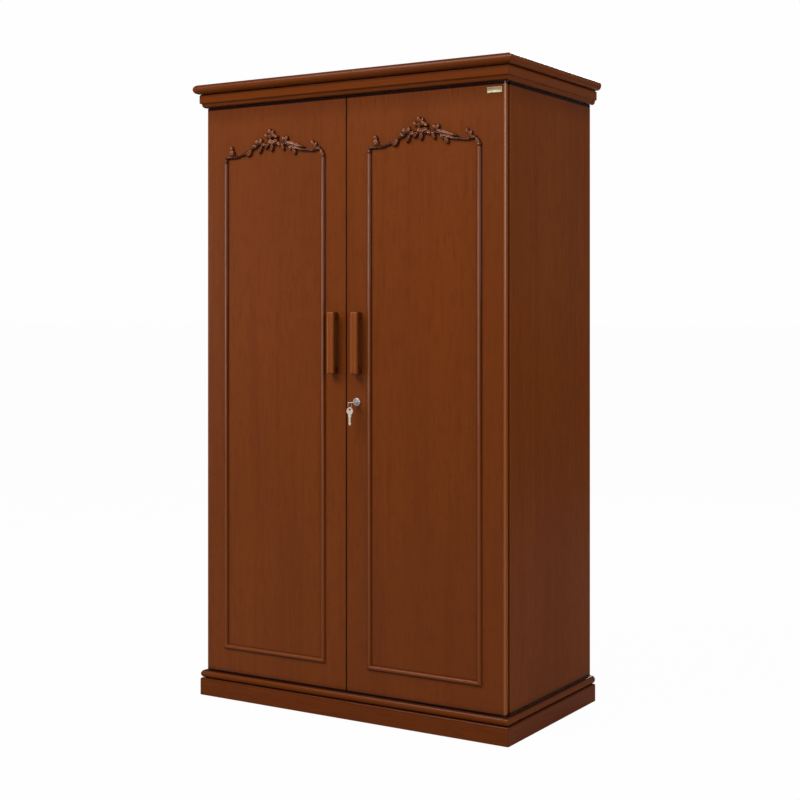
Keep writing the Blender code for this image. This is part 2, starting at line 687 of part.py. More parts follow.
def lock(door_axis, leaf):
    """The cam lock in the right door: housing and nut stay with the door, plug, cam and key turn."""
    centre = Vector((LOCK_X, at_depth(DOOR_FACE), LOCK_Z))
    to_front = Matrix.Translation(centre) @ FACE_FRONT
    bore = cylinder_cutter("lock_bore", HOUSING_R + GAP, 4 * DOOR_T, to_front, 32)
    boolean(leaf, "DIFFERENCE", bore)

    inner = PLUG_R + RUN_CLEAR
    dome = arc((ROSE_R - ROSE_PROUD / 2, ROSE_PROUD / 2), (ROSE_PROUD / 2,) * 2, 90, 0, 4)
    body = [(inner, ROSE_PROUD)] + dome + [(ROSE_R, GAP), (HOUSING_R, GAP)]
    body += [(HOUSING_R, -HOUSING_END), (inner, -HOUSING_END)]
    turned("lock_housing", body, to_front, NICKEL, 32, door_axis)

    nut_inner = (HOUSING_R + GAP) / cos(radians(30))
    nut = [(nut_inner, -DOOR_T - GAP), (NUT_R, -DOOR_T - GAP)]
    nut += [(NUT_R, -HOUSING_END), (nut_inner, -HOUSING_END)]
    turned("lock_nut", nut, to_front, STEEL, 6, door_axis)

    axis = empty_at("lock_axis", centre)
    stub_end = CAM_END
    front = ROSE_PROUD + PLUG_PROUD
    shaft = [(0.0, front), (PLUG_R, front), (PLUG_R, -HOUSING_END - GAP), (CAM_STUB_R, -HOUSING_END - GAP)]
    shaft += [(CAM_STUB_R, -stub_end), (0.0, -stub_end)]
    plug = turned("lock_plug", shaft, to_front, NICKEL, 24, axis, closed=False)
    blade_start = 2 * KEY_BOW_R + KEY_NECK_LENGTH
    in_depth = blade_start + KEY_BLADE_LENGTH - KEY_OUT + GAP
    way_size = (KEY_BLADE_W + 2 * KEYWAY_CLEAR, 2 * in_depth, KEY_T + 2 * KEYWAY_CLEAR)
    way_at = centre + Vector((0.0, -ROSE_PROUD, 0.0))
    boolean(plug, "DIFFERENCE", box_cutter("keyway", way_size, way_at))

    half = CAM_W / 2
    bar = arc((0.0, 0.0), (half, half), 0, 180, 8) + [(-half, -CAM_LENGTH), (half, -CAM_LENGTH)]
    cam_at = Matrix.Translation(centre + Vector((0.0, CAM_END, 0.0))) @ FACE_FRONT
    cam = prism("lock_cam", bar, CAM_T, cam_at, STEEL, axis)
    boolean(cam, "DIFFERENCE", cylinder_cutter("cam_bore", CAM_STUB_R + GAP, 4 * CAM_T, cam_at))
    head = CAM_END + GAP
    screw = [(0.0, -head), (CAM_SCREW_R, -head), (CAM_SCREW_R, -head - CAM_SCREW_T), (0.0, -head - CAM_SCREW_T)]
    turned("cam_screw", screw, to_front, STEEL, 16, axis, closed=False)

    key_place = Vector((LOCK_X, at_depth(KEY_END_DEPTH), LOCK_Z))
    key("key_in_lock", Matrix.Translation(key_place) @ Matrix.Rotation(pi / 2, 4, "Z"), "plain", axis)
    hang_keys()


def hang_keys():
    """The ring hangs on the bow's end, the spare key on the ring's lowest point."""
    bridge = Vector((LOCK_X, at_depth(BRIDGE_DEPTH), LOCK_Z))
    ring_axis = empty_at("key_ring_axis", bridge)
    bpy.ops.mesh.primitive_torus_add(
        major_segments=24, minor_segments=8, major_radius=RING_R, minor_radius=RING_WIRE_R
    )
    ring = bpy.context.object
    data = ring.data
    bpy.data.objects.remove(ring, do_unlink=True)
    upright = Matrix.Translation((LOCK_X, bridge.y, RING_Z)) @ Matrix.Rotation(pi / 2, 4, "Y")
    add_object("key_ring", data, upright, NICKEL, ring_axis)

    lowest = Vector((LOCK_X, bridge.y, RING_Z - RING_R))
    spare_axis = empty_at("spare_key_axis", lowest)
    hang = Matrix(((0, 1, 0), (0, 0, -1), (-1, 0, 0))).to_4x4()
    bow_end = lowest.z + HOLE_TO_END - KEY_HOLE_R + RING_WIRE_R + GAP
    hang.translation = (LOCK_X, bridge.y, bow_end)
    key("spare_key", hang, "cut", spare_axis)


def strike(axis):
    half = STRIKE_H / 2
    meet = MEETING_GAP / 2
    depth = (DOOR_BACK + GAP, DOOR_BACK + STRIKE_T)
    board("strike_plate", (-meet - STRIKE_W, -meet), depth, (LOCK_Z - half, LOCK_Z + half), STEEL, axis)


def bolt(end, way, axis):
    """A barrel bolt on the left door's back; its rod slides past an angle keeper, up or down."""
    panel = SIDE_TOP if way > 0 else SIDE_Z
    lip_end = panel - way * KEEPER_LIP
    tip = lip_end - way * KEEPER_TIP_CLEAR
    barrel_end = tip - way * BOLT_TIP_OUT
    barrel_low = min(barrel_end, barrel_end - way * BOLT_BARREL_LENGTH)
    rod_depth = DOOR_BACK + BOLT_PLATE_T + BOLT_BARREL_R - GAP
    back = at_depth(DOOR_BACK) + GAP
    rod_y = at_depth(rod_depth)

    plate_half = BOLT_PLATE_W / 2
    plate_y = back + BOLT_PLATE_T
    round_part = arc((0.0, rod_y), (BOLT_BARREL_R,) * 2, -30, 210, 14)
    outline = [(-plate_half, back), (plate_half, back), (plate_half, plate_y)]
    outline += [(BOLT_BARREL_R * cos(radians(30)), plate_y)] + round_part
    outline += [(-BOLT_BARREL_R * cos(radians(30)), plate_y), (-plate_half, plate_y)]
    place = Matrix.Translation((-BOLT_X, 0.0, barrel_low))
    barrel = prism(f"bolt_barrel_{end}", outline, BOLT_BARREL_LENGTH, place, BRASS, axis)
    hole_at = Matrix.Translation((-BOLT_X, rod_y, barrel_low))
    hole = cylinder_cutter(f"bolt_bore_{end}", BOLT_ROD_R + RUN_CLEAR, 4 * BOLT_BARREL_LENGTH, hole_at)
    boolean(barrel, "DIFFERENCE", hole)

    slide = empty_at(f"bolt_slide_{end}", (-BOLT_X, rod_y, tip))
    nose = BOLT_ROD_R / 2
    rod = [(0.0, 0.0), (nose, 0.0), (BOLT_ROD_R, -nose), (BOLT_ROD_R, -ROD_LENGTH), (0.0, -ROD_LENGTH)]
    turn = Matrix() if way > 0 else Matrix.Rotation(pi, 4, "X")
    rod_place = Matrix.Translation((-BOLT_X, rod_y, tip)) @ turn
    made = turned(f"bolt_rod_{end}", rod, rod_place, BRASS, 16, slide, closed=False)
    knob_z = tip - way * KNOB_FROM_TIP
    knob_at = Matrix.Translation((-BOLT_X, rod_y + BOLT_KNOB_LENGTH / 2, knob_z)) @ FACE_FRONT
    knob = cylinder_cutter(f"bolt_knob_{end}", BOLT_KNOB_R - GAP, BOLT_KNOB_LENGTH, knob_at, 12)
    boolean(made, "UNION", knob)

    lip_front = rod_depth - BOLT_ROD_R - RUN_CLEAR - KEEPER_T
    lip = [(0.0, 0.0), (KEEPER_FLANGE, 0.0), (KEEPER_FLANGE, KEEPER_T)]
    lip += [(KEEPER_T, KEEPER_T), (KEEPER_T, KEEPER_LIP), (0.0, KEEPER_LIP)]
    matrix = Matrix((Y_AXIS, -way * Z_AXIS, -way * X_AXIS)).transposed().to_4x4()
    matrix.translation = (-BOLT_X + way * KEEPER_W / 2, at_depth(lip_front), panel)
    prism(f"bolt_keeper_{end}", lip, KEEPER_W, matrix, BRASS)


def doors():
    for side, hand in (("left", -1), ("right", 1)):
        pivot_x = hand * (CARCASS_W / 2 - DOOR_T / 2)
        axis = empty_at(f"door_axis_{side}", (pivot_x, at_depth(PIVOT_DEPTH), SIDE_Z))
        foot = (pivot_x, at_depth(PIVOT_DEPTH), SIDE_Z)
        head = (pivot_x, at_depth(PIVOT_DEPTH), SIDE_TOP)
        pivot(f"pivot_foot_{side}", foot, 1)
        pivot(f"pivot_head_{side}", head, -1)
        leaf = door_leaf(side, hand, axis)
        bead_frame(side, hand, axis)
        crest(side, hand, axis)
        handle(side, hand, axis)
        if side == "right":
            lock(axis, leaf)
        else:
            strike(axis)
            bolt("top", 1, axis)
            bolt("bottom", -1, axis)


plinth()
base()
carcass()
cornice()
inside_fittings()
doors()
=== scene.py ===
"""Looks of a two-door almirah: stained wood, carved crests, handles, lock, fittings, light and camera."""

import json
import math

import bmesh
import bpy
from mathutils import Matrix, Vector


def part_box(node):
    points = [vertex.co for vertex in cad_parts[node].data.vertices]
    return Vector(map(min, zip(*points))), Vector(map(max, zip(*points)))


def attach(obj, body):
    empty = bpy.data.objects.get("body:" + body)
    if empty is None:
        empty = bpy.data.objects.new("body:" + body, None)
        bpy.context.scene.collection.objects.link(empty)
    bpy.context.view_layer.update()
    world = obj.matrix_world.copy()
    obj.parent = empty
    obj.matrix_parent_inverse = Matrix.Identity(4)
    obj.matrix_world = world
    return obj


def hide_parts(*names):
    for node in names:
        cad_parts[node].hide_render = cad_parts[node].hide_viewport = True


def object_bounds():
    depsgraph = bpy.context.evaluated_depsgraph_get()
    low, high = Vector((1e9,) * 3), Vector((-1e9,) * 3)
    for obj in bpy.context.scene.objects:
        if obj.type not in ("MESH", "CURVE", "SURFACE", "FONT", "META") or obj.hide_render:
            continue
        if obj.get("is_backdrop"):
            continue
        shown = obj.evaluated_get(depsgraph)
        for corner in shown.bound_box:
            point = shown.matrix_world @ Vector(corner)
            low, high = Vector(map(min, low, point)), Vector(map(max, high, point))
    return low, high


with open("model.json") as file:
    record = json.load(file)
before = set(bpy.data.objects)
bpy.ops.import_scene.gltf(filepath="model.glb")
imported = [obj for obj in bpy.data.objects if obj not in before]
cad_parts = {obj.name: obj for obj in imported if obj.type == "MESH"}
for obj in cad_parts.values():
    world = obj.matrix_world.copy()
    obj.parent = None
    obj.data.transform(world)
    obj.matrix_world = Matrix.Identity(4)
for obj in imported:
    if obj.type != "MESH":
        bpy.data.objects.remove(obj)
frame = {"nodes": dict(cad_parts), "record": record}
CAD_LOW, CAD_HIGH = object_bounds()

SLOT_OF = {row["node"]: row["material_slot"] for row in frame["record"]["subparts"]}
BODY_OF = {}
for body_name, members in frame["record"]["behaviour"]["bodies"].items():
    for member in members:
        BODY_OF[member] = body_name


def middle_of(node, axis):
    """The middle of a solid along axis 0, 1 or 2."""
    low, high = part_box(node)
    return (low[axis] + high[axis]) / 2


# Places that the pieces share, all read from the solids
DOOR_LOW, DOOR_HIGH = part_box("door_right")
DOOR_FACE = DOOR_LOW.y
DOOR_BACK = DOOR_HIGH.y
BEAD_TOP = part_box("bead_left_left")[1].z
BEAD_FOOT = middle_of("bead_foot_right", 2)
BEAD_LEFT = middle_of("bead_left_right", 0)
BEAD_RIGHT = middle_of("bead_right_right", 0)
BEAD_HALF = (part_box("bead_left_right")[1].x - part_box("bead_left_right")[0].x) / 2
BASE_LOW, BASE_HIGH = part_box("base_moulding_front")
PLINTH_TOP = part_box("plinth_front")[1].z
CORNICE_LOW, CORNICE_JOINT = [corner.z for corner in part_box("cornice_lower_front")]
PANEL_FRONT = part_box("side_panel_right")[0].y
PANEL_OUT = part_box("side_panel_right")[1].x
HANDLE_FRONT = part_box("handle_left")[0].y
GRIP_LOW, GRIP_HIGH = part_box("handle_right")

# Colours, as linear light
STAIN_MID = (0.160, 0.0345, 0.0034, 1.0)
STAIN_DEEP = (0.112, 0.0215, 0.0022, 1.0)
STAIN_WARM = (0.215, 0.0500, 0.0060, 1.0)
MOULDED_MID = (0.128, 0.0272, 0.0029, 1.0)
TRIM_MID = (0.134, 0.0272, 0.0028, 1.0)
TRIM_DEEP = (0.102, 0.0190, 0.0021, 1.0)
TRIM_WARM = (0.180, 0.0420, 0.0055, 1.0)
# Painted highlight: pale tone on the carving, the right door's outer edge and the panels' front edges
PALE_HIGHLIGHT = (0.300, 0.0800, 0.0150, 1.0)
# Painted highlight on the beads' crowns
CROWN_HIGHLIGHT_TONE = (0.235, 0.0820, 0.0380, 1.0)
STAIN_PORE = (0.060, 0.0120, 0.0020, 1.0)
# Painted shade: the dark tone put in recesses, corners, beside the beads and under the mouldings
PAINTED_SHADE = (0.026, 0.0038, 0.0006, 1.0)
# Painted shade: near black in the gaps under the cornice, over the base and on the base board's rim
PAINTED_GAP_SHADE = (0.008, 0.0010, 0.0002, 1.0)
HANDLE_MID = (0.212, 0.0490, 0.0070, 1.0)
INNER_MID = (0.300, 0.150, 0.068, 1.0)
INNER_DEEP = (0.205, 0.092, 0.038, 1.0)
INNER_WARM = (0.390, 0.215, 0.105, 1.0)
INNER_PORE = (0.120, 0.052, 0.022, 1.0)
PLY_MID = (0.430, 0.285, 0.165, 1.0)
PLY_DEEP = (0.330, 0.200, 0.105, 1.0)
PLY_WARM = (0.520, 0.370, 0.230, 1.0)
PLY_PORE = (0.220, 0.125, 0.062, 1.0)
NICKEL = (0.520, 0.490, 0.445, 1.0)
NICKEL_DULL = (0.300, 0.280, 0.250, 1.0)
# Painted highlight along the handles' front edges
HANDLE_EDGE_HIGHLIGHT = (0.285, 0.0900, 0.0300, 1.0)
KEY_PALE = (0.830, 0.690, 0.585, 1.0)
KEY_DULL = (0.610, 0.495, 0.410, 1.0)
ZINC = (0.520, 0.530, 0.540, 1.0)
ZINC_DULL = (0.300, 0.310, 0.325, 1.0)
OILED = (0.050, 0.046, 0.042, 1.0)
OILED_DULL = (0.030, 0.026, 0.023, 1.0)
BRASS = (0.620, 0.430, 0.190, 1.0)
BRASS_DULL = (0.320, 0.200, 0.080, 1.0)
PLATE_PALE = (0.350, 0.285, 0.180, 1.0)
PLATE_DULL = (0.240, 0.190, 0.110, 1.0)


class Strand:
    """A shader value. Sums and products written with it add their Math nodes."""

    def __init__(self, recipe, socket):
        self.recipe = recipe
        self.socket = socket

    def reckon(self, operation, first, second):
        return self.recipe.add("ShaderNodeMath", {"operation": operation}, {0: first, 1: second})

    def __add__(self, other):
        return self.reckon("ADD", self, other)

    def __radd__(self, other):
        return self.reckon("ADD", other, self)

    def __sub__(self, other):
        return self.reckon("SUBTRACT", self, other)

    def __rsub__(self, other):
        return self.reckon("SUBTRACT", other, self)

    def __mul__(self, other):
        return self.reckon("MULTIPLY", self, other)

    def __rmul__(self, other):
        return self.reckon("MULTIPLY", other, self)


class Recipe:
    """A node tree being mixed, for a finish or for the room's light."""

    def __init__(self, tree):
        self.tree = tree

    def add(self, kind, settings, sockets, out=0):
        """One node: its settings first, then its sockets; gives back the output that is asked for."""
        node = self.tree.nodes.new(kind)
        for key, value in settings.items():
            setattr(node, key, value)
        for key, value in sockets.items():
            if isinstance(value, Strand):
                self.tree.links.new(value.socket, node.inputs[key])
            else:
                node.inputs[key].default_value = value
        return Strand(self, node.outputs[out])

    def between(self, value, low, high):
        """0 below low, 1 above high, eased."""
        return self.add(
            "ShaderNodeMapRange",
            {"interpolation_type": "SMOOTHSTEP"},
            {"Value": value, "From Min": low, "From Max": high},
        )

    def colour(self, mask, under, over):
        """The under colour where the mask is 0 and the over colour where it is 1."""
        return self.add("ShaderNodeMix", {"data_type": "RGBA"}, {0: mask, 6: under, 7: over}, 2)

    def stretched(self, place, scale, detail, twist=0.0):
        """Noise pulled out of round: scale is how many times it varies in a metre along X, Y and Z."""
        laid = self.add("ShaderNodeMapping", {}, {"Vector": place, "Scale": scale})
        return self.add(
            "ShaderNodeTexNoise",
            {},
            {"Vector": laid, "Scale": 1.0, "Detail": detail, "Roughness": 0.55, "Distortion": twist},
        )


def new_finish(name):
    """A fresh material: its recipe, its shader and the place on the piece."""
    material = bpy.data.materials.new(name)
    material.use_nodes = True
    recipe = Recipe(material.node_tree)
    shader = material.node_tree.nodes["Principled BSDF"]
    place = recipe.add("ShaderNodeTexCoord", {}, {}, "Object")
    return material, recipe, shader, place


def feed(recipe, shader, socket, strand):
    recipe.tree.links.new(strand.socket, shader.inputs[socket])


def largest(recipe, *strands):
    """The greatest of several values."""
    result = strands[0]
    for strand in strands[1:]:
        result = recipe.add("ShaderNodeMath", {"operation": "MAXIMUM"}, {0: result, 1: strand})
    return result


def distance(recipe, strand, middle):
    """How far a value is from a middle one."""
    return recipe.add("ShaderNodeMath", {"operation": "ABSOLUTE"}, {0: strand - middle})


# Layers of the grain: how often each varies in a metre across and along the wood, its detail and its twist,
# where in its noise it starts and is full, and its share of the colour
LAYERS = {
    "cloud": (3.2, 1.1, 2.0, 0.0, 0.30, 0.70, 0.34),
    "figure": (24.0, 0.8, 4.0, 0.7, 0.46, 0.74, 0.44),
    "mottle": (70.0, 16.0, 2.0, 0.0, 0.44, 0.72, 0.42),
    "fibre": (380.0, 7.0, 3.0, 0.0, 0.48, 0.78, 0.28),
    "pores": (1300.0, 48.0, 1.0, 0.0, 0.60, 0.72, 0.55),
}
NOISE_MIDDLE = 0.5
CLOUD_DULLS = 0.12
PORE_DULLS = 0.12
FIBRE_DULLS = 0.10
SHADE_SMOOTHS = 0.20
FIBRE_HEIGHT = 0.35
GRAIN_BUMP = {"Strength": 0.22, "Distance": 0.0002}


def wood(name, along, tones, lacquer, shades=(), extra=None):
    """Finished wood with its grain along axis 0, 1 or 2.

    The tones are its middle colour and those of its deep, warm and pore layers. The lacquer is how rough
    and how shiny the wood is, and the weight and roughness of its clear coat. Each shade is painted shade,
    a darker and smoother band: an axis, where it starts, where it is full, and how strong it is.
    An extra is a function that changes the tone and the coat further, with more painted shade and
    highlights.
    """
    mid, deep, warm, pore = tones
    rough, shine, coat, coat_rough = lacquer
    material, recipe, shader, place = new_finish(name)
    layer_tones = {"cloud": deep, "figure": deep, "mottle": deep, "fibre": warm, "pores": pore}
    tone = mid
    noise = {}
    shown = {}
    for layer, (across, lengthwise, detail, twist, start, full, share) in LAYERS.items():
        scale = [across, across, across]
        scale[along] = lengthwise
        noise[layer] = recipe.stretched(place, scale, detail, twist)
        shown[layer] = recipe.between(noise[layer], start, full)
        tone = recipe.colour(shown[layer] * share, tone, layer_tones[layer])
    roughness = rough + (noise["cloud"] - NOISE_MIDDLE) * CLOUD_DULLS + shown["pores"] * PORE_DULLS
    roughness = roughness + (noise["fibre"] - NOISE_MIDDLE) * FIBRE_DULLS
    sides = [recipe.add("ShaderNodeSeparateXYZ", {}, {0: place}, side) for side in "XYZ"]
    for axis, start, full, strength in shades:
        shaded = recipe.between(sides[axis], start, full)
        # Painted shade: darker and smoother where each shade band reaches
        tone = recipe.colour(shaded * strength, tone, PAINTED_SHADE)
        roughness = roughness - shaded * (strength * SHADE_SMOOTHS)
        if axis == 1 and coat > 0:
            feed(recipe, shader, "Coat Weight", coat - shaded * (coat * strength))
    if extra is not None:
        tone, coat_share = extra(recipe, sides, tone)
        if coat_share is not None:
            feed(recipe, shader, "Coat Weight", coat_share)
    height = noise["fibre"] * FIBRE_HEIGHT - shown["pores"]
    feed(recipe, shader, "Base Color", tone)
    feed(recipe, shader, "Roughness", roughness)
    feed(recipe, shader, "Normal", recipe.add("ShaderNodeBump", {}, {**GRAIN_BUMP, "Height": height}))
    shader.inputs["Specular IOR Level"].default_value = shine
    shader.inputs["Coat Weight"].default_value = coat
    shader.inputs["Coat Roughness"].default_value = coat_rough
    return material


PATCHES = (90.0, 90.0, 90.0)
SCRATCHES = (900.0, 900.0, 60.0)
SCRATCH_TWIST = 0.4
PATCH_SHARE = 0.6
PATCH_DULLS = 0.16
SCRATCH_DULLS = 0.14
SCRATCH_BUMP = {"Strength": 0.12, "Distance": 0.0001}


def metal(name, bright, dull, polish):
    """Plated metal with handling marks: fine scratches and dull patches."""
    material, recipe, shader, place = new_finish(name)
    worn = recipe.between(recipe.stretched(place, PATCHES, 3.0), 0.42, 0.72)
    scratch = recipe.stretched(place, SCRATCHES, 2.0, SCRATCH_TWIST)
    roughness = polish + worn * PATCH_DULLS + (scratch - NOISE_MIDDLE) * SCRATCH_DULLS
    feed(recipe, shader, "Base Color", recipe.colour(worn * PATCH_SHARE, bright, dull))
    feed(recipe, shader, "Roughness", roughness)
    feed(recipe, shader, "Normal", recipe.add("ShaderNodeBump", {}, {**SCRATCH_BUMP, "Height": scratch}))
    shader.inputs["Metallic"].default_value = 1.0
    return material


# Tones of each wood: its middle colour, its deep and warm layers and its pores
STAINED = (STAIN_MID, STAIN_DEEP, STAIN_WARM, STAIN_PORE)
HANDLED = (HANDLE_MID, STAIN_MID, STAIN_WARM, STAIN_PORE)
# The beads and the carving take a pale painted highlight as their middle tone; painted shade darkens their
# low parts
BEAD_HIGHLIT_TONES = (CROWN_HIGHLIGHT_TONE, STAIN_MID, CROWN_HIGHLIGHT_TONE, STAIN_PORE)
CARVING_HIGHLIT_TONES = (PALE_HIGHLIGHT, STAIN_MID, PALE_HIGHLIGHT, STAIN_PORE)
TRIM = (TRIM_MID, TRIM_DEEP, TRIM_WARM, STAIN_PORE)
MOULDED = (MOULDED_MID, TRIM_MID, STAIN_WARM, STAIN_PORE)
INNER = (INNER_MID, INNER_DEEP, INNER_WARM, INNER_PORE)
PLY = (PLY_MID, PLY_DEEP, PLY_WARM, PLY_PORE)

# Lacquers: how rough and how shiny the wood is, and the weight and roughness of the clear coat
MOULDING_COAT = 0.06
SATIN = (0.27, 0.05, 0.0, 0.20)
TRIM_LACQUER = (0.27, 0.06, 0.10, 0.20)
MOULDING_LACQUER = (0.27, 0.06, MOULDING_COAT, 0.16)
DOOR_LACQUER = (0.33, 0.14, 0.0, 0.24)
POLISHED = (0.28, 0.10, 0.95, 0.20)
GLAZED = (0.26, 0.10, 0.65, 0.07)
RUBBED = (0.34, 0.12, 0.10, 0.24)
INNER_DULL = (0.55, 0.20, 0.0, 0.20)
PLY_DULL = (0.65, 0.20, 0.0, 0.20)

# Painted shade: the carving's low places, handle sides, bead flanks, cornice top, and around the mouldings
CARVED_SHADES = ((1, DOOR_FACE - 0.0112, DOOR_FACE - 0.0058, 0.92),)
HANDLE_SHADES = ((1, HANDLE_FRONT + 0.0045, HANDLE_FRONT + 0.0130, 0.70),)
BEAD_SHADES = ((1, DOOR_FACE - 0.0065, DOOR_FACE - 0.0040, 0.88),)
CORNICE_SHADES = (
    (2, CAD_HIGH.z - 0.0160, CAD_HIGH.z - 0.0030, 0.40),
    (2, CORNICE_LOW + 0.0045, CORNICE_LOW + 0.0010, 0.50),
)
BASE_SHADES = (
    (2, BASE_HIGH.z - 0.0050, BASE_HIGH.z - 0.0010, 0.88),
    (2, BASE_LOW.z + 0.0060, BASE_LOW.z + 0.0015, 0.70),
)
PLINTH_SHADES = ((2, PLINTH_TOP - 0.0070, PLINTH_TOP - 0.0010, 0.45),)
UNDER_CORNICE = (DOOR_HIGH.z - 0.0086, DOOR_HIGH.z - 0.0050)
OVER_BASE = (DOOR_LOW.z + 0.0050, DOOR_LOW.z + 0.0012)
PANEL_SHADES = (
    (2, DOOR_HIGH.z - 0.0750, DOOR_HIGH.z - 0.0060, 0.30),
    (2, DOOR_LOW.z + 0.0180, DOOR_LOW.z + 0.0030, 0.30),
    (2, *UNDER_CORNICE, 0.90),
    (2, *OVER_BASE, 0.90),
)

# Painted shade, painted highlights and clear coat that follow a shape: where each starts and is full, and
# its share
NEAR_JOINT = (CORNICE_JOINT - 0.0110, CORNICE_JOINT - 0.0030)
BELOW_JOINT = (CORNICE_JOINT + 0.0004, CORNICE_JOINT - 0.0004)
JOINT_SHARE = 0.40
CORNICE_COATED = (-0.400, 0.250)
FRAME_MIDDLE = (BEAD_LEFT + BEAD_RIGHT) / 2
FRAME_HALF = (BEAD_RIGHT - BEAD_LEFT) / 2
BESIDE_BEAD = (BEAD_HALF + 0.0060, BEAD_HALF - 0.0010)
UNDER_CREST = (BEAD_TOP + 0.0100, BEAD_TOP - 0.0040)
ON_FACE = (DOOR_FACE + 0.0040, DOOR_FACE + 0.0010)
BESIDE_SHARE = 0.62
NOSE_MIDDLE = DOOR_HIGH.x - 0.0032
NOSE_REACH = 0.0042
NOSE_FULL = 0.0008
NOSE_SHARE = 0.85
NOSE_COAT = 0.60
FAR_NOSE_SHARE = 0.70
AT_MEETING = (0.0045, 0.0015)
MEETING_SHARE = 0.35
HIGHLIT_HEIGHT = (BEAD_FOOT - 0.1500, BEAD_TOP)
ON_CROWN = (DOOR_FACE - 0.0050, DOOR_FACE - 0.0063)
CROWN_COAT = 0.30
UPPER_COAT = 0.70
GRIP_MIDDLE = middle_of("handle_right", 0)
GRIP_EDGE = (GRIP_HIGH.x - GRIP_LOW.x) / 2 - 0.0052
ON_GRIP_EDGE = (0.0030, 0.0004)
GRIP_FRONT = (GRIP_LOW.y + 0.0030, GRIP_LOW.y + 0.0010)
GRIP_SHARE = 0.45
PANEL_EDGE = (PANEL_FRONT + 0.0030, PANEL_FRONT + 0.0006)
PANEL_SHARE = 0.40
RIM_OUTSIDE = (PANEL_OUT - 0.0010, PANEL_OUT)
RIM_IN_FRONT = (PANEL_FRONT, PANEL_FRONT - 0.0010)


def cornice_extras(recipe, sides, tone):
    """Painted shade at the top of the cornice's lower stage; the clear coat worn thin towards the left."""
    near_joint = recipe.between(sides[2], *NEAR_JOINT) * recipe.between(sides[2], *BELOW_JOINT)
    coat_share = recipe.between(sides[0], *CORNICE_COATED) * MOULDING_COAT
    return recipe.colour(near_joint * JOINT_SHARE, tone, PAINTED_SHADE), coat_share


def gap_shade(recipe, sides):
    """Painted shade in the last few millimetres under the cornice and over the base."""
    return largest(recipe, recipe.between(sides[2], *UNDER_CORNICE), recipe.between(sides[2], *OVER_BASE))


def door_extras(recipe, sides, tone):
    """Painted shade by the beads, meeting edges, left outer edge and gaps; painted highlight and coat on
    the right edge.
    """
    out = distance(recipe, sides[0], 0.0)
    beyond_side = distance(recipe, out, FRAME_MIDDLE) - FRAME_HALF
    below_foot = BEAD_FOOT - sides[2]
    off_bead = distance(recipe, largest(recipe, beyond_side, below_foot), 0.0)
    beside = recipe.between(off_bead, *BESIDE_BEAD) * recipe.between(sides[2], *UNDER_CREST)
    beside = beside * recipe.between(sides[1], *ON_FACE)
    on_nose = recipe.between(distance(recipe, sides[0], NOSE_MIDDLE), NOSE_REACH, NOSE_FULL)
    far_nose = recipe.between(sides[0], NOSE_REACH - NOSE_MIDDLE, -NOSE_MIDDLE)
    at_meeting = recipe.between(out, *AT_MEETING)
    tone = recipe.colour(beside * BESIDE_SHARE, tone, PAINTED_SHADE)
    tone = recipe.colour(on_nose * NOSE_SHARE, tone, PALE_HIGHLIGHT)
    tone = recipe.colour(far_nose * FAR_NOSE_SHARE, tone, PAINTED_SHADE)
    tone = recipe.colour(at_meeting * MEETING_SHARE, tone, PAINTED_SHADE)
    tone = recipe.colour(gap_shade(recipe, sides), tone, PAINTED_GAP_SHADE)
    return tone, on_nose * NOSE_COAT


def bead_extras(recipe, sides, tone):
    """Painted highlight on the beads from the handles up, plain stain towards the floor; more coat on upper
    crowns.
    """
    higher_up = recipe.between(sides[2], *HIGHLIT_HEIGHT)
    on_crown = recipe.between(sides[1], *ON_CROWN)
    return recipe.colour(higher_up, STAIN_MID, tone), on_crown * (higher_up * UPPER_COAT + CROWN_COAT)


def handle_extras(recipe, sides, tone):
    """Painted highlights along both long front edges of each handle."""
    off_middle = distance(recipe, distance(recipe, sides[0], 0.0), GRIP_MIDDLE)
    on_edge = recipe.between(distance(recipe, off_middle, GRIP_EDGE), *ON_GRIP_EDGE)
    in_front = recipe.between(sides[1], *GRIP_FRONT)
    return recipe.colour(on_edge * in_front * GRIP_SHARE, tone, HANDLE_EDGE_HIGHLIGHT), None


def panel_extras(recipe, sides, tone):
    """Painted light on the front edges behind the doors; painted shade in the gaps."""
    on_edge = recipe.between(sides[1], *PANEL_EDGE)
    tone = recipe.colour(on_edge * PANEL_SHARE, tone, PALE_HIGHLIGHT)
    return recipe.colour(gap_shade(recipe, sides), tone, PAINTED_GAP_SHADE), None


def rim_extras(recipe, sides, tone):
    """Painted shade on the base board's rim outside the side panels and in front of them."""
    outside = recipe.between(distance(recipe, sides[0], 0.0), *RIM_OUTSIDE)
    in_front = recipe.between(sides[1], *RIM_IN_FRONT)
    return recipe.colour(largest(recipe, outside, in_front), tone, PAINTED_GAP_SHADE), None


# Woods that several pieces share, each made once for each way of its grain
AXES = ("along_x", "along_y", "along_z")
TIMBERS = {
    "moulding_wood": (MOULDED, MOULDING_LACQUER, CORNICE_SHADES, cornice_extras),
    "trim_wood": (TRIM, TRIM_LACQUER, PLINTH_SHADES),
    "inner_wood": (INNER, INNER_DULL),
    "plywood": (PLY, PLY_DULL),
    "base_wood": (MOULDED, MOULDING_LACQUER, BASE_SHADES),
    "bead_wood": (BEAD_HIGHLIT_TONES, POLISHED, BEAD_SHADES, bead_extras),
}
TIMBER_OF = {
    "mahogany": "moulding_wood",
    "mahogany_dark": "trim_wood",
    "inner_wood": "inner_wood",
    "back_plywood": "plywood",
}
SHARED = {}


def timber(name, along):
    if (name, along) not in SHARED:
        SHARED[name, along] = wood(name + "_" + AXES[along], along, *TIMBERS[name])
    return SHARED[name, along]


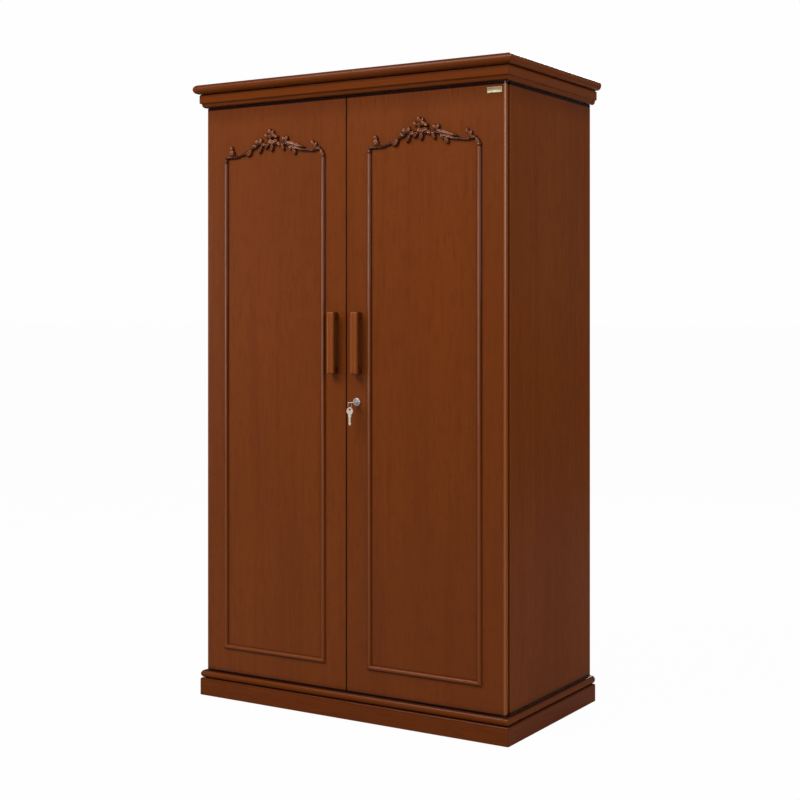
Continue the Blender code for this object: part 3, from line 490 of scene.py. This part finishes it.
CARVED = wood("carved_wood", 0, CARVING_HIGHLIT_TONES, GLAZED, CARVED_SHADES)
PANEL_WOOD = wood("panel_wood", 2, STAINED, SATIN, PANEL_SHADES, panel_extras)
DOOR_WOOD = wood("door_wood", 2, STAINED, DOOR_LACQUER, PANEL_SHADES, door_extras)
BOARD_WOOD = wood("board_wood", 0, INNER, INNER_DULL, (), rim_extras)
HANDLE_WOOD = wood("handle_wood", 2, HANDLED, RUBBED, HANDLE_SHADES, handle_extras)
METALS = {
    "nickel": metal("nickel_plate", NICKEL, NICKEL_DULL, 0.34),
    "zinc_steel": metal("zinc_steel", ZINC, ZINC_DULL, 0.36),
    "brass": metal("lacquered_brass", BRASS, BRASS_DULL, 0.28),
}
KEY_METAL = metal("key_metal", KEY_PALE, KEY_DULL, 0.50)
PIVOT_STEEL = metal("oiled_steel", OILED, OILED_DULL, 0.45)
PLATE = metal("champagne_plate", PLATE_PALE, PLATE_DULL, 0.52)

SHARP = math.radians(38)
CARVED_SHARP = math.radians(60)
SAME_PLANE = math.radians(0.5)
WELD = 0.00001


def nothing_selected():
    bpy.ops.object.select_all(action="DESELECT")


def work_on(piece):
    nothing_selected()
    piece.select_set(True)
    bpy.context.view_layer.objects.active = piece


def just_added(name):
    """The primitive that was added last, under its own name."""
    piece = bpy.context.active_object
    piece.name = name
    piece.data.name = name
    return piece


def pick_faces(piece, wanted):
    """In edit mode: only the faces that wanted says yes to stay selected."""
    bpy.ops.mesh.select_mode(type="FACE")
    bpy.ops.mesh.select_all(action="DESELECT")
    shape = bmesh.from_edit_mesh(piece.data)
    for face in shape.faces:
        face.select_set(wanted(face))
    bmesh.update_edit_mesh(piece.data)


def pick_edges(piece, wanted):
    """In edit mode: only the edges that wanted says yes to stay selected."""
    bpy.ops.mesh.select_mode(type="EDGE")
    bpy.ops.mesh.select_all(action="DESELECT")
    shape = bmesh.from_edit_mesh(piece.data)
    for edge in shape.edges:
        edge.select_set(wanted(edge))
    bmesh.update_edit_mesh(piece.data)


def apply_modifiers(piece):
    work_on(piece)
    for modifier in list(piece.modifiers):
        bpy.ops.object.modifier_apply(modifier=modifier.name)


def settle(piece):
    """Puts the piece's place, turn and size into its mesh."""
    work_on(piece)
    bpy.ops.object.transform_apply(location=True, rotation=True, scale=True)


def soften(piece, arris, segments=2):
    """Eases the sharp edges and lets the light run smoothly over the rest."""
    work_on(piece)
    if arris > 0:
        easing = piece.modifiers.new("eased_edges", "BEVEL")
        easing.width = arris
        easing.segments = segments
        easing.limit_method = "ANGLE"
        easing.angle_limit = SHARP
        apply_modifiers(piece)
    bpy.ops.object.shade_smooth_by_angle(angle=SHARP)
    flats = piece.modifiers.new("true_flats", "WEIGHTED_NORMAL")
    flats.keep_sharp = True
    apply_modifiers(piece)


def join(pieces, name):
    """Makes one piece of several."""
    work_on(pieces[0])
    for piece in pieces[1:]:
        piece.select_set(True)
    bpy.ops.object.join()
    return just_added(name)


def fit(piece, body, slot, finish, *nodes):
    """Gives the piece its finish, the body that carries it and the solids that it stands for."""
    piece.data.materials.clear()
    piece.data.materials.append(finish)
    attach(piece, body)
    if nodes:
        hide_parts(*nodes)


def finish_of(node):
    """A solid's finish; wood takes the grain along its longest side."""
    slot = SLOT_OF[node]
    if node.startswith("pivot_"):
        return PIVOT_STEEL
    if node in ("spare_key", "key_in_lock"):
        return KEY_METAL
    if slot in METALS:
        return METALS[slot]
    low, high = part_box(node)
    sides = list(high - low)
    along = sides.index(max(sides))
    if node.startswith("bead_"):
        return timber("bead_wood", along)
    if node.startswith("base_moulding_"):
        return timber("base_wood", along)
    if node == "base_board":
        return BOARD_WOOD
    if node.startswith("door_"):
        return DOOR_WOOD
    if node.startswith("side_panel_"):
        return PANEL_WOOD
    return timber(TIMBER_OF[slot], along)


def dressed(node, arris):
    """A solid's own shape, planed and with its edges eased."""
    mesh = frame["nodes"][node].data.copy()
    piece = bpy.data.objects.new(node + "_dressed", mesh)
    mesh.name = piece.name
    bpy.context.scene.collection.objects.link(piece)
    work_on(piece)
    bpy.ops.object.mode_set(mode="EDIT")
    bpy.ops.mesh.select_all(action="SELECT")
    bpy.ops.mesh.remove_doubles(threshold=WELD)
    bpy.ops.mesh.dissolve_limited(angle_limit=SAME_PLANE)
    bpy.ops.object.mode_set(mode="OBJECT")
    soften(piece, arris)
    fit(piece, BODY_OF[node], SLOT_OF[node], finish_of(node), node)


def eased_block(name, low, high, arris, segments=3):
    """A block between two corners with rounded edges."""
    low = Vector(low)
    high = Vector(high)
    nothing_selected()
    bpy.ops.mesh.primitive_cube_add(size=1.0, location=(low + high) / 2)
    piece = just_added(name)
    piece.scale = high - low
    settle(piece)
    soften(piece, arris, segments)
    return piece


def turned(name, profile, centre, steps=64):
    """A ring turned about an axis along Y. The profile is a closed loop of (radius, distance in front)."""
    nothing_selected()
    bpy.ops.mesh.primitive_circle_add(vertices=len(profile), radius=1.0, fill_type="NOTHING")
    piece = just_added(name)
    for vertex, (radius, front) in zip(piece.data.vertices, profile):
        vertex.co = (centre[0] + radius, centre[1] - front, centre[2])
    work_on(piece)
    bpy.ops.object.mode_set(mode="EDIT")
    bpy.ops.mesh.select_all(action="SELECT")
    bpy.ops.mesh.spin(steps=steps, angle=math.tau, center=centre, axis=(0, 1, 0))
    bpy.ops.mesh.select_all(action="SELECT")
    bpy.ops.mesh.remove_doubles(threshold=WELD)
    bpy.ops.mesh.normals_make_consistent(inside=False)
    bpy.ops.object.mode_set(mode="OBJECT")
    bpy.ops.object.shade_smooth_by_angle(angle=SHARP)
    return piece


def bent_rod(name, points, radius, sizes=None):
    """A round rod along the points; sizes scale its thickness at each point."""
    curve = bpy.data.curves.new(name, "CURVE")
    curve.dimensions = "3D"
    curve.bevel_depth = radius
    curve.bevel_resolution = 4
    curve.use_fill_caps = True
    spline = curve.splines.new("POLY")
    spline.points.add(len(points) - 1)
    for index, point in enumerate(points):
        spline.points[index].co = (*point, 1.0)
        spline.points[index].radius = sizes[index] if sizes else 1.0
    piece = bpy.data.objects.new(name, curve)
    bpy.context.scene.collection.objects.link(piece)
    work_on(piece)
    bpy.ops.object.convert(target="MESH")
    return just_added(name)


# Boards, mouldings and fittings keep their solids' shapes
HAND_MADE = ("crest_left", "crest_right", "handle_left", "handle_right", "lock_housing", "key_ring")
MOULDINGS = ("cornice_", "base_moulding", "bead_")
THIN_SHEETS = ("back_panel", "dust_cover")
METAL_ARRIS = 0.00025
SHEET_ARRIS = 0.0004
BOARD_ARRIS = 0.0008

for node_name in sorted(frame["nodes"]):
    if node_name in HAND_MADE:
        continue
    if node_name.startswith(MOULDINGS):
        dressed(node_name, 0.0)
    elif SLOT_OF[node_name] in METALS:
        dressed(node_name, METAL_ARRIS)
    elif node_name in THIN_SHEETS:
        dressed(node_name, SHEET_ARRIS)
    else:
        dressed(node_name, BOARD_ARRIS)


# Carved crests: a vine that climbs from both beads to a sprig in the middle
CREST_BACK = DOOR_FACE - 0.0003
CREST_MIDDLE = middle_of("crest_right", 0)
BEAD_REACH = BEAD_RIGHT - CREST_MIDDLE
VINE_LINE = DOOR_FACE - 0.0030
VINE_STEPS = 8
BOSS_RISE = 0.0055
BOSS_RADIUS = 0.0085
BOSS_OUT = 0.0088
CARVING_GRID = 0.0007
SANDING = 4
TIP_TAPER = 0.40
FOOT_TAPER = 0.20
RIB_DEPTH = 0.28
RIB_WIDTH = 0.24
VEIN_DEPTH = 0.03
VEIN_COUNT = 9
VEIN_SLANT = 5
CURL_SHARE = 0.6


def sampled(points, steps):
    """A smooth path through the points."""
    path = []
    for index in range(len(points) - 1):
        before = points[max(index - 1, 0)]
        start = points[index]
        end = points[index + 1]
        after = points[min(index + 2, len(points) - 1)]
        for step in range(steps):
            t = step / steps
            path.append(
                0.5
                * (
                    2 * start
                    + (end - before) * t
                    + (2 * before - 5 * start + 4 * end - after) * t * t
                    + (3 * start - before - 3 * end + after) * t * t * t
                )
            )
    path.append(points[-1])
    return path


def leaf(middle, length, width, out, lean, curl, sway):
    """A carved leaf lying on the door: pointed, with a midrib cut in it and a lifted, swaying tip."""
    nothing_selected()
    bpy.ops.mesh.primitive_uv_sphere_add(segments=28, ring_count=20, radius=1.0)
    piece = just_added("leaf")
    turn = math.radians(lean)
    for vertex in piece.data.vertices:
        across, rise, along = vertex.co
        taper = 1 - TIP_TAPER * max(along, 0) ** 2 - FOOT_TAPER * max(-along, 0) ** 2
        side = across * taper
        ridge = max(rise, 0)
        groove = RIB_DEPTH * math.exp(-((across / RIB_WIDTH) ** 2)) * (1 - along * along)
        veins = VEIN_DEPTH * math.cos(VEIN_COUNT * along - VEIN_SLANT * abs(across)) * (1 - along * along)
        lift = ridge * (1 - groove + veins) + curl * max(along, 0) ** 2 * CURL_SHARE
        local_x = length * along
        local_z = width * (side + sway * along * along)
        x = middle[0] + local_x * math.cos(turn) - local_z * math.sin(turn)
        z = middle[1] + local_x * math.sin(turn) + local_z * math.cos(turn)
        vertex.co = (x, CREST_BACK - out * lift, z)
    return piece


def boss(middle, radius, out):
    """A rounded boss where the vine leaves a bead."""
    nothing_selected()
    bpy.ops.mesh.primitive_uv_sphere_add(segments=20, ring_count=12, radius=1.0)
    piece = just_added("boss")
    for vertex in piece.data.vertices:
        x, rise, z = vertex.co
        vertex.co = (middle[0] + radius * x, CREST_BACK - out * max(rise, 0), middle[1] + radius * z)
    return piece


def lay_flat(piece):
    """Nothing of the carving goes behind its flat back."""
    for vertex in piece.data.vertices:
        vertex.co.y = min(vertex.co.y, CREST_BACK)


# Distances are from the crest's middle, to the right; heights are above the bead tops
STEM = (
    (-BEAD_REACH, 0.0030, 0.0050),
    (-BEAD_REACH, 0.0100, 0.0050),
    (-0.1830, 0.0175, 0.0048),
    (-0.1680, 0.0170, 0.0040),
    (-0.1450, 0.0170, 0.0036),
    (-0.1220, 0.0240, 0.0042),
    (-0.1000, 0.0290, 0.0044),
    (-0.0770, 0.0430, 0.0044),
    (-0.0580, 0.0530, 0.0040),
    (-0.0330, 0.0510, 0.0034),
    (0.0, 0.0500, 0.0030),
    (0.0240, 0.0510, 0.0034),
    (0.0480, 0.0490, 0.0036),
    (0.0850, 0.0350, 0.0036),
    (0.1270, 0.0255, 0.0036),
    (0.1520, 0.0224, 0.0034),
    (0.1680, 0.0265, 0.0040),
    (0.1805, 0.0235, 0.0046),
    (BEAD_REACH - 0.0010, 0.0120, 0.0050),
    (BEAD_REACH, 0.0030, 0.0050),
)
# Each leaf: its middle, half its length and width, how far it stands out, its lean, its curl and its sway
LEAVES = (
    (-0.1635, 0.0320, 0.0112, 0.0107, 0.0114, 84, 0.15, 0.10),
    (-0.1650, 0.0455, 0.0100, 0.0079, 0.0106, 98, 0.25, 0.15),
    (-0.1590, 0.0215, 0.0116, 0.0062, 0.0078, 62, 0.20, 0.10),
    (-0.1380, 0.0195, 0.0146, 0.0060, 0.0074, 14, 0.20, 0.20),
    (-0.0940, 0.0275, 0.0146, 0.0099, 0.0105, 236, 0.30, -0.20),
    (-0.1080, 0.0300, 0.0134, 0.0067, 0.0084, 204, 0.30, 0.20),
    (-0.0720, 0.0490, 0.0146, 0.0069, 0.0092, 152, 0.30, -0.20),
    (-0.0620, 0.0610, 0.0105, 0.0089, 0.0112, 132, 0.25, -0.15),
    (-0.0485, 0.0620, 0.0102, 0.0087, 0.0112, 66, 0.25, 0.15),
    (-0.0510, 0.0365, 0.0140, 0.0084, 0.0096, 246, 0.35, 0.20),
    (-0.0365, 0.0515, 0.0117, 0.0082, 0.0100, 196, 0.30, -0.15),
    (-0.0250, 0.0465, 0.0120, 0.0077, 0.0096, 232, 0.30, 0.15),
    (-0.0100, 0.0590, 0.0110, 0.0092, 0.0113, 150, 0.20, 0.10),
    (0.0000, 0.0565, 0.0098, 0.0082, 0.0110, 58, 0.20, 0.15),
    (0.0095, 0.0600, 0.0110, 0.0079, 0.0110, 18, 0.20, 0.15),
    (-0.0050, 0.0405, 0.0137, 0.0082, 0.0100, 264, 0.30, 0.10),
    (-0.0120, 0.0915, 0.0110, 0.0072, 0.0108, 106, 0.25, 0.15),
    (-0.0025, 0.0870, 0.0098, 0.0069, 0.0110, 58, 0.25, -0.20),
    (-0.0250, 0.0785, 0.0110, 0.0072, 0.0108, 132, 0.25, -0.20),
    (0.0015, 0.0785, 0.0098, 0.0072, 0.0110, 28, 0.25, 0.20),
    (0.0110, 0.0745, 0.0098, 0.0069, 0.0106, -8, 0.25, 0.20),
    (-0.0120, 0.0735, 0.0134, 0.0069, 0.0092, 98, 0.20, 0.10),
    (0.0225, 0.0510, 0.0122, 0.0077, 0.0102, -30, 0.30, 0.20),
    (0.0370, 0.0415, 0.0149, 0.0077, 0.0102, -74, 0.35, 0.20),
    (0.0420, 0.0660, 0.0102, 0.0077, 0.0112, 124, 0.25, -0.20),
    (0.0515, 0.0655, 0.0102, 0.0077, 0.0110, 46, 0.25, 0.20),
    (0.0800, 0.0475, 0.0470, 0.0066, 0.0116, -17, 0.10, -0.25),
    (0.0900, 0.0345, 0.0400, 0.0052, 0.0100, -17, 0.10, -0.25),
    (0.0670, 0.0365, 0.0112, 0.0077, 0.0100, -60, 0.30, 0.25),
    (0.0815, 0.0250, 0.0137, 0.0084, 0.0100, -76, 0.35, 0.20),
    (0.1530, 0.0460, 0.0128, 0.0067, 0.0106, 116, 0.30, 0.20),
    (0.1620, 0.0375, 0.0116, 0.0072, 0.0108, 72, 0.30, -0.20),
    (0.1700, 0.0285, 0.0128, 0.0064, 0.0094, 8, 0.25, 0.20),
    (0.1855, 0.0155, 0.0110, 0.0077, 0.0104, -66, 0.20, 0.10),
)


def carved_crest(node, middle):
    """The whole vine in one carving."""
    path = [Vector((middle + x, VINE_LINE, BEAD_TOP + z)) for x, z, size in STEM]
    sizes = [Vector((size / STEM[0][2], 0, 0)) for x, z, size in STEM]
    thickness = [size.x for size in sampled(sizes, VINE_STEPS)]
    parts = [bent_rod("vine", sampled(path, VINE_STEPS), STEM[0][2], thickness)]
    for side in (1, -1):
        parts.append(boss((middle + side * BEAD_REACH, BEAD_TOP + BOSS_RISE), BOSS_RADIUS, BOSS_OUT))
    for x, z, length, width, out, lean, curl, sway in LEAVES:
        parts.append(leaf((middle + x, BEAD_TOP + z), length, width, out, lean, curl, sway))
    carving = join(parts, node + "_carving")
    lay_flat(carving)
    fuse = carving.modifiers.new("one_carving", "REMESH")
    fuse.mode = "VOXEL"
    fuse.voxel_size = CARVING_GRID
    rub = carving.modifiers.new("sanded", "SMOOTH")
    rub.factor = 0.5
    rub.iterations = SANDING
    apply_modifiers(carving)
    lay_flat(carving)
    bpy.ops.object.shade_smooth_by_angle(angle=CARVED_SHARP)
    fit(carving, BODY_OF[node], SLOT_OF[node], CARVED, node)


carved_crest("crest_left", -CREST_MIDDLE)
carved_crest("crest_right", CREST_MIDDLE)


# Bar handles
BAR_T = 0.014
LEG_H = 0.020
FRONT_ROUND = 0.0060
FRONT_STEPS = 7
EDGE_ROUND = 0.0020
EDGE_STEPS = 3
SLACK = 0.001
SQUARE_EDGE = 1.0


def bar_handle(node):
    """A flat bar on two legs, with its front edges well rounded and the others eased."""
    low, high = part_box(node)
    bar_back = low.y + BAR_T
    middle_z = (low.z + high.z) / 2

    def on_leg(face):
        return face.normal.y > 0.9 and abs(face.calc_center_median().z - middle_z) > LEG_H

    def round_front(edge):
        return max(end.co.y for end in edge.verts) < low.y + SLACK and edge.calc_face_angle(0) > SQUARE_EDGE

    nothing_selected()
    bpy.ops.mesh.primitive_cube_add(size=1.0, location=(low + high) / 2)
    piece = just_added(node + "_shaped")
    piece.scale = high - low
    settle(piece)
    bpy.ops.object.mode_set(mode="EDIT")
    for vertex in bmesh.from_edit_mesh(piece.data).verts:
        vertex.co.y = min(vertex.co.y, bar_back)
    bmesh.update_edit_mesh(piece.data)
    for cut in (low.z + LEG_H, high.z - LEG_H):
        bpy.ops.mesh.select_all(action="SELECT")
        bpy.ops.mesh.bisect(plane_co=(0, 0, cut), plane_no=(0, 0, 1))
    pick_faces(piece, on_leg)
    bpy.ops.mesh.extrude_region_move(TRANSFORM_OT_translate={"value": (0, high.y - bar_back, 0)})
    pick_edges(piece, round_front)
    bpy.ops.mesh.bevel(offset=FRONT_ROUND, segments=FRONT_STEPS, affect="EDGES")
    bpy.ops.object.mode_set(mode="OBJECT")
    soften(piece, EDGE_ROUND, EDGE_STEPS)
    fit(piece, BODY_OF[node], SLOT_OF[node], HANDLE_WOOD, node)


bar_handle("handle_left")
bar_handle("handle_right")


# Lock rose with its barrel, and the split ring that holds the spare key
LOCK_CENTRE = (middle_of("lock_plug", 0), DOOR_FACE, middle_of("lock_plug", 2))
BARREL_END = DOOR_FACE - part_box("lock_housing")[1].y
ROSE_PROFILE = (
    (0.0095, BARREL_END),
    (0.0095, 0.0003),
    (0.0130, 0.0003),
    (0.0130, 0.0022),
    (0.0126, 0.0032),
    (0.0117, 0.0041),
    (0.0109, 0.0045),
    (0.0105, 0.0053),
    (0.0098, 0.0055),
    (0.0081, 0.0055),
    (0.0076, 0.0052),
    (0.0074, 0.0046),
    (0.0074, BARREL_END),
)
rose = turned("lock_rose", ROSE_PROFILE, LOCK_CENTRE)
fit(rose, "right_door", "nickel", METALS["nickel"], "lock_housing")

RING_LOW, RING_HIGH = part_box("key_ring")
RING_CENTRE = (RING_LOW + RING_HIGH) / 2
WIRE = (RING_HIGH.x - RING_LOW.x) / 4
RING_REACH = (RING_HIGH.z - RING_LOW.z) / 2 - 2 * WIRE
TURN_STEPS = 56
COIL_STEPS = 2 * TURN_STEPS - 4
coil = []
for step in range(COIL_STEPS + 1):
    angle = math.tau * step / TURN_STEPS
    x = RING_CENTRE.x + (step / COIL_STEPS - 0.5) * 2 * WIRE
    y = RING_CENTRE.y + RING_REACH * math.cos(angle)
    z = RING_CENTRE.z + RING_REACH * math.sin(angle)
    coil.append((x, y, z))
split_ring = bent_rod("split_ring", coil, WIRE)
soften(split_ring, 0.0)
fit(split_ring, "ring", "nickel", METALS["nickel"], "key_ring")


# Bare plate on the right door
PLATE_LOW = (0.4885, DOOR_FACE - 0.0018, 1.8715)
PLATE_HIGH = (0.5375, DOOR_FACE - 0.0003, 1.8885)
PLATE_ARRIS = 0.0006
PLATE_RIM = 0.0012
PLATE_SUNK = 0.0004
plate = eased_block("bare_plate", PLATE_LOW, PLATE_HIGH, PLATE_ARRIS)
work_on(plate)
bpy.ops.object.mode_set(mode="EDIT")
pick_faces(plate, lambda face: face.normal.y < -0.99)
bpy.ops.mesh.inset(thickness=PLATE_RIM, depth=0.0)
bpy.ops.mesh.inset(thickness=PLATE_SUNK, depth=-PLATE_SUNK)
bpy.ops.object.mode_set(mode="OBJECT")
fit(plate, "right_door", "brass", PLATE)


# Screws: one cross-head, modelled once and copied
HEAD_RADIUS = 0.0030
HEAD_T = 0.0014
DOME_INSET = 0.0011
DOME_RISE = 0.0004
SLOT_W = 0.0007
SLOT_REACH = 0.0034
CUTTER_T = 0.0024
CUTTER_FRONT = 0.0022


def screw_head():
    """A domed cross-head, facing -Y with its seat at the origin."""
    nothing_selected()
    bpy.ops.mesh.primitive_cylinder_add(vertices=24, radius=HEAD_RADIUS, depth=HEAD_T)
    head = just_added("screw_head")
    head.rotation_euler = (math.pi / 2, 0, 0)
    head.location = (0, -HEAD_T / 2, 0)
    settle(head)
    bpy.ops.object.mode_set(mode="EDIT")
    pick_faces(head, lambda face: face.normal.y < -0.9)
    bpy.ops.mesh.inset(thickness=DOME_INSET, depth=DOME_RISE)
    bpy.ops.object.mode_set(mode="OBJECT")
    arms = []
    for size in ((SLOT_W, CUTTER_T, SLOT_REACH), (SLOT_REACH, CUTTER_T, SLOT_W)):
        nothing_selected()
        bpy.ops.mesh.primitive_cube_add(size=1.0, location=(0, -CUTTER_FRONT, 0))
        arm = just_added("cross_arm")
        arm.scale = size
        settle(arm)
        arms.append(arm)
    for arm in arms:
        cut = head.modifiers.new("cross", "BOOLEAN")
        cut.operation = "DIFFERENCE"
        cut.object = arm
        cut.solver = "EXACT"
    apply_modifiers(head)
    for arm in arms:
        bpy.data.objects.remove(arm)
    soften(head, 0.0)
    return head


PATTERN_SCREW = screw_head()


def screws(name, body, slot, places, size=1.0):
    """Screws at their places; each place is a point and the way that the head faces."""
    copies = []
    for point, facing in places:
        mesh = PATTERN_SCREW.data.copy()
        turn = Vector((0, -1, 0)).rotation_difference(Vector(facing)).to_matrix().to_4x4()
        mesh.transform(Matrix.Translation(point) @ turn @ Matrix.Scale(size, 4))
        copy = bpy.data.objects.new(name, mesh)
        bpy.context.scene.collection.objects.link(copy)
        copies.append(copy)
    fit(join(copies, name), body, slot, METALS[slot])


BARREL_FOOT_T = 0.0028
BARREL_INSET_X = 0.0040
BARREL_INSET_Z = 0.010
bolt_screws = []
for barrel in ("bolt_barrel_top", "bolt_barrel_bottom"):
    low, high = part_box(barrel)
    for x in (low.x + BARREL_INSET_X, high.x - BARREL_INSET_X):
        for z in (low.z + BARREL_INSET_Z, high.z - BARREL_INSET_Z):
            bolt_screws.append(((x, DOOR_BACK + BARREL_FOOT_T, z), (0, 1, 0)))
screws("bolt_screws", "left_door", SLOT_OF["bolt_barrel_top"], bolt_screws)

STRIKE_INSET_X = 0.0060
STRIKE_INSET_Z = 0.008
low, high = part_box("strike_plate")
strike_screws = []
for z in (low.z + STRIKE_INSET_Z, high.z - STRIKE_INSET_Z):
    strike_screws.append(((high.x - STRIKE_INSET_X, high.y, z), (0, 1, 0)))
screws("strike_screws", "left_door", SLOT_OF["strike_plate"], strike_screws)

FLANGE_T = 0.003
FLANGE_REACH = 0.0190
FLANGE_SCREW = 0.8
socket_screws = []
for socket, way in (("rail_socket_left", 1), ("rail_socket_right", -1)):
    low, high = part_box(socket)
    x = low.x + FLANGE_T if way > 0 else high.x - FLANGE_T
    for turn in (45, 165, 285):
        y = middle_of(socket, 1) + FLANGE_REACH * math.cos(math.radians(turn))
        z = middle_of(socket, 2) + FLANGE_REACH * math.sin(math.radians(turn))
        socket_screws.append(((x, y, z), (way, 0, 0)))
screws("socket_screws", "carcass", SLOT_OF["rail_socket_left"], socket_screws, FLANGE_SCREW)

KEEPER_T = 0.002
KEEPER_INSET_X = 0.006
KEEPER_INSET_Y = 0.007
keeper_screws = []
for keeper, way in (("bolt_keeper_top", -1), ("bolt_keeper_bottom", 1)):
    low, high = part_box(keeper)
    z = high.z - KEEPER_T if way < 0 else low.z + KEEPER_T
    for x in (low.x + KEEPER_INSET_X, high.x - KEEPER_INSET_X):
        keeper_screws.append(((x, high.y - KEEPER_INSET_Y, z), (0, 0, way)))
screws("keeper_screws", "carcass", SLOT_OF["bolt_keeper_top"], keeper_screws)

BACK_LOW, BACK_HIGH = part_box("back_panel")
BACK_INSET = 0.010
BACK_ROWS = 7
BACK_COLUMNS = 5
back_screws = []
for row in range(BACK_ROWS):
    for column in range(BACK_COLUMNS):
        if row in (0, BACK_ROWS - 1) or column in (0, BACK_COLUMNS // 2, BACK_COLUMNS - 1):
            across = column / (BACK_COLUMNS - 1)
            up = row / (BACK_ROWS - 1)
            x = BACK_LOW.x + BACK_INSET + across * (BACK_HIGH.x - BACK_LOW.x - 2 * BACK_INSET)
            z = BACK_LOW.z + BACK_INSET + up * (BACK_HIGH.z - BACK_LOW.z - 2 * BACK_INSET)
            back_screws.append(((x, BACK_HIGH.y, z), (0, 1, 0)))
screws("back_screws", "carcass", "zinc_steel", back_screws)

bpy.data.objects.remove(PATTERN_SCREW)


# Light, floor and camera
def lamp(name, place, target, width, height, power):
    """A soft box at a place, turned to a target."""
    data = bpy.data.lights.new(name, "AREA")
    data.shape = "RECTANGLE"
    data.size = width
    data.size_y = height
    data.energy = power
    piece = bpy.data.objects.new(name, data)
    piece.location = place
    piece.rotation_euler = (Vector(target) - Vector(place)).to_track_quat("-Z", "Y").to_euler()
    bpy.context.scene.collection.objects.link(piece)


# The white sweep hangs behind the almirah; the room in front of it is dimmer
ROOM_LIGHT = 0.22
SWEEP_WAY = (-0.526, 0.850, 0.0)
SWEEP_EDGE = (0.78, 0.90)
SWEEP_WHITE = (0.990, 0.990, 0.990, 1.0)
FLOOR_WHITE = 0.982
FLOOR_GREY = (0.40, 0.40, 0.40, 1.0)


def sees_white(recipe, heading):
    """Rays that see white: the picture's own everywhere, those in a gloss or a glass only on the sweep."""
    picture = recipe.add("ShaderNodeLightPath", {}, {}, "Is Camera Ray")
    gloss = recipe.add("ShaderNodeLightPath", {}, {}, "Is Glossy Ray")
    glass = recipe.add("ShaderNodeLightPath", {}, {}, "Is Transmission Ray")
    both = {0: heading, 1: SWEEP_WAY}
    facing = recipe.add("ShaderNodeVectorMath", {"operation": "DOT_PRODUCT"}, both, "Value")
    on_sweep = recipe.between(facing, *SWEEP_EDGE)
    return largest(recipe, picture, largest(recipe, gloss, glass) * on_sweep)


world = bpy.data.worlds.new("studio")
world.use_nodes = True
bpy.context.scene.world = world
room = Recipe(world.node_tree)
background = world.node_tree.nodes["Background"]
background.inputs["Color"].default_value = SWEEP_WHITE
heading = room.add("ShaderNodeTexCoord", {}, {}, "Generated")
room_strength = ROOM_LIGHT + sees_white(room, heading) * (1.0 - ROOM_LIGHT)
world.node_tree.links.new(room_strength.socket, background.inputs["Strength"])

nothing_selected()
bpy.ops.mesh.primitive_plane_add(size=400.0, location=(0, 0, 0))
floor = just_added("studio_floor")
floor_finish = bpy.data.materials.new("studio_floor")
floor_finish.use_nodes = True
floor_recipe = Recipe(floor_finish.node_tree)
for node in list(floor_finish.node_tree.nodes):
    if node.type != "OUTPUT_MATERIAL":
        floor_finish.node_tree.nodes.remove(node)
matt = floor_recipe.add("ShaderNodeBsdfDiffuse", {}, {"Color": FLOOR_GREY})
glow = floor_recipe.add("ShaderNodeEmission", {}, {"Color": (1.0, 1.0, 1.0, 1.0), "Strength": 1.0})
spot = floor_recipe.add("ShaderNodeNewGeometry", {}, {}, "Position")
heading = floor_recipe.add("ShaderNodeVectorMath", {"operation": "NORMALIZE"}, {0: spot})
white_floor = sees_white(floor_recipe, heading) * FLOOR_WHITE
floor_mix = floor_recipe.add("ShaderNodeMixShader", {}, {0: white_floor, 1: matt, 2: glow})
floor_output = floor_finish.node_tree.nodes["Material Output"]
floor_finish.node_tree.links.new(floor_mix.socket, floor_output.inputs["Surface"])
floor.data.materials.append(floor_finish)
floor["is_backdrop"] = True

lamp("key_light", (-1.6, -3.60, 5.00), (0.0, -0.2, 1.0), 4.0, 2.6, 312.0)
lamp("left_light", (-4.0, -2.58, 1.35), (0.0, -0.2, 1.15), 1.4, 1.6, 25.0)
lamp("right_light", (4.50, -0.95, 2.6), (0.4, 0.0, 1.3), 3.0, 2.6, 112.0)
lamp("back_light", (-1.20, 4.60, 3.20), (0.0, 0.3, 1.0), 2.5, 2.0, 110.0)

camera_data = bpy.data.cameras.new("viewer")
camera_data.sensor_width = 36.0
camera_data.lens = 66.30
camera_data.shift_y = -0.1041
camera = bpy.data.objects.new("viewer", camera_data)
camera.location = (2.5093, -4.0156, 1.2277)
camera.rotation_euler = (math.radians(90.0), 0.0, math.radians(31.746))
bpy.context.scene.collection.objects.link(camera)
bpy.context.scene.camera = camera
bpy.context.scene.view_settings.view_transform = "Standard"

bpy.context.view_layer.update()
low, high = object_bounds()
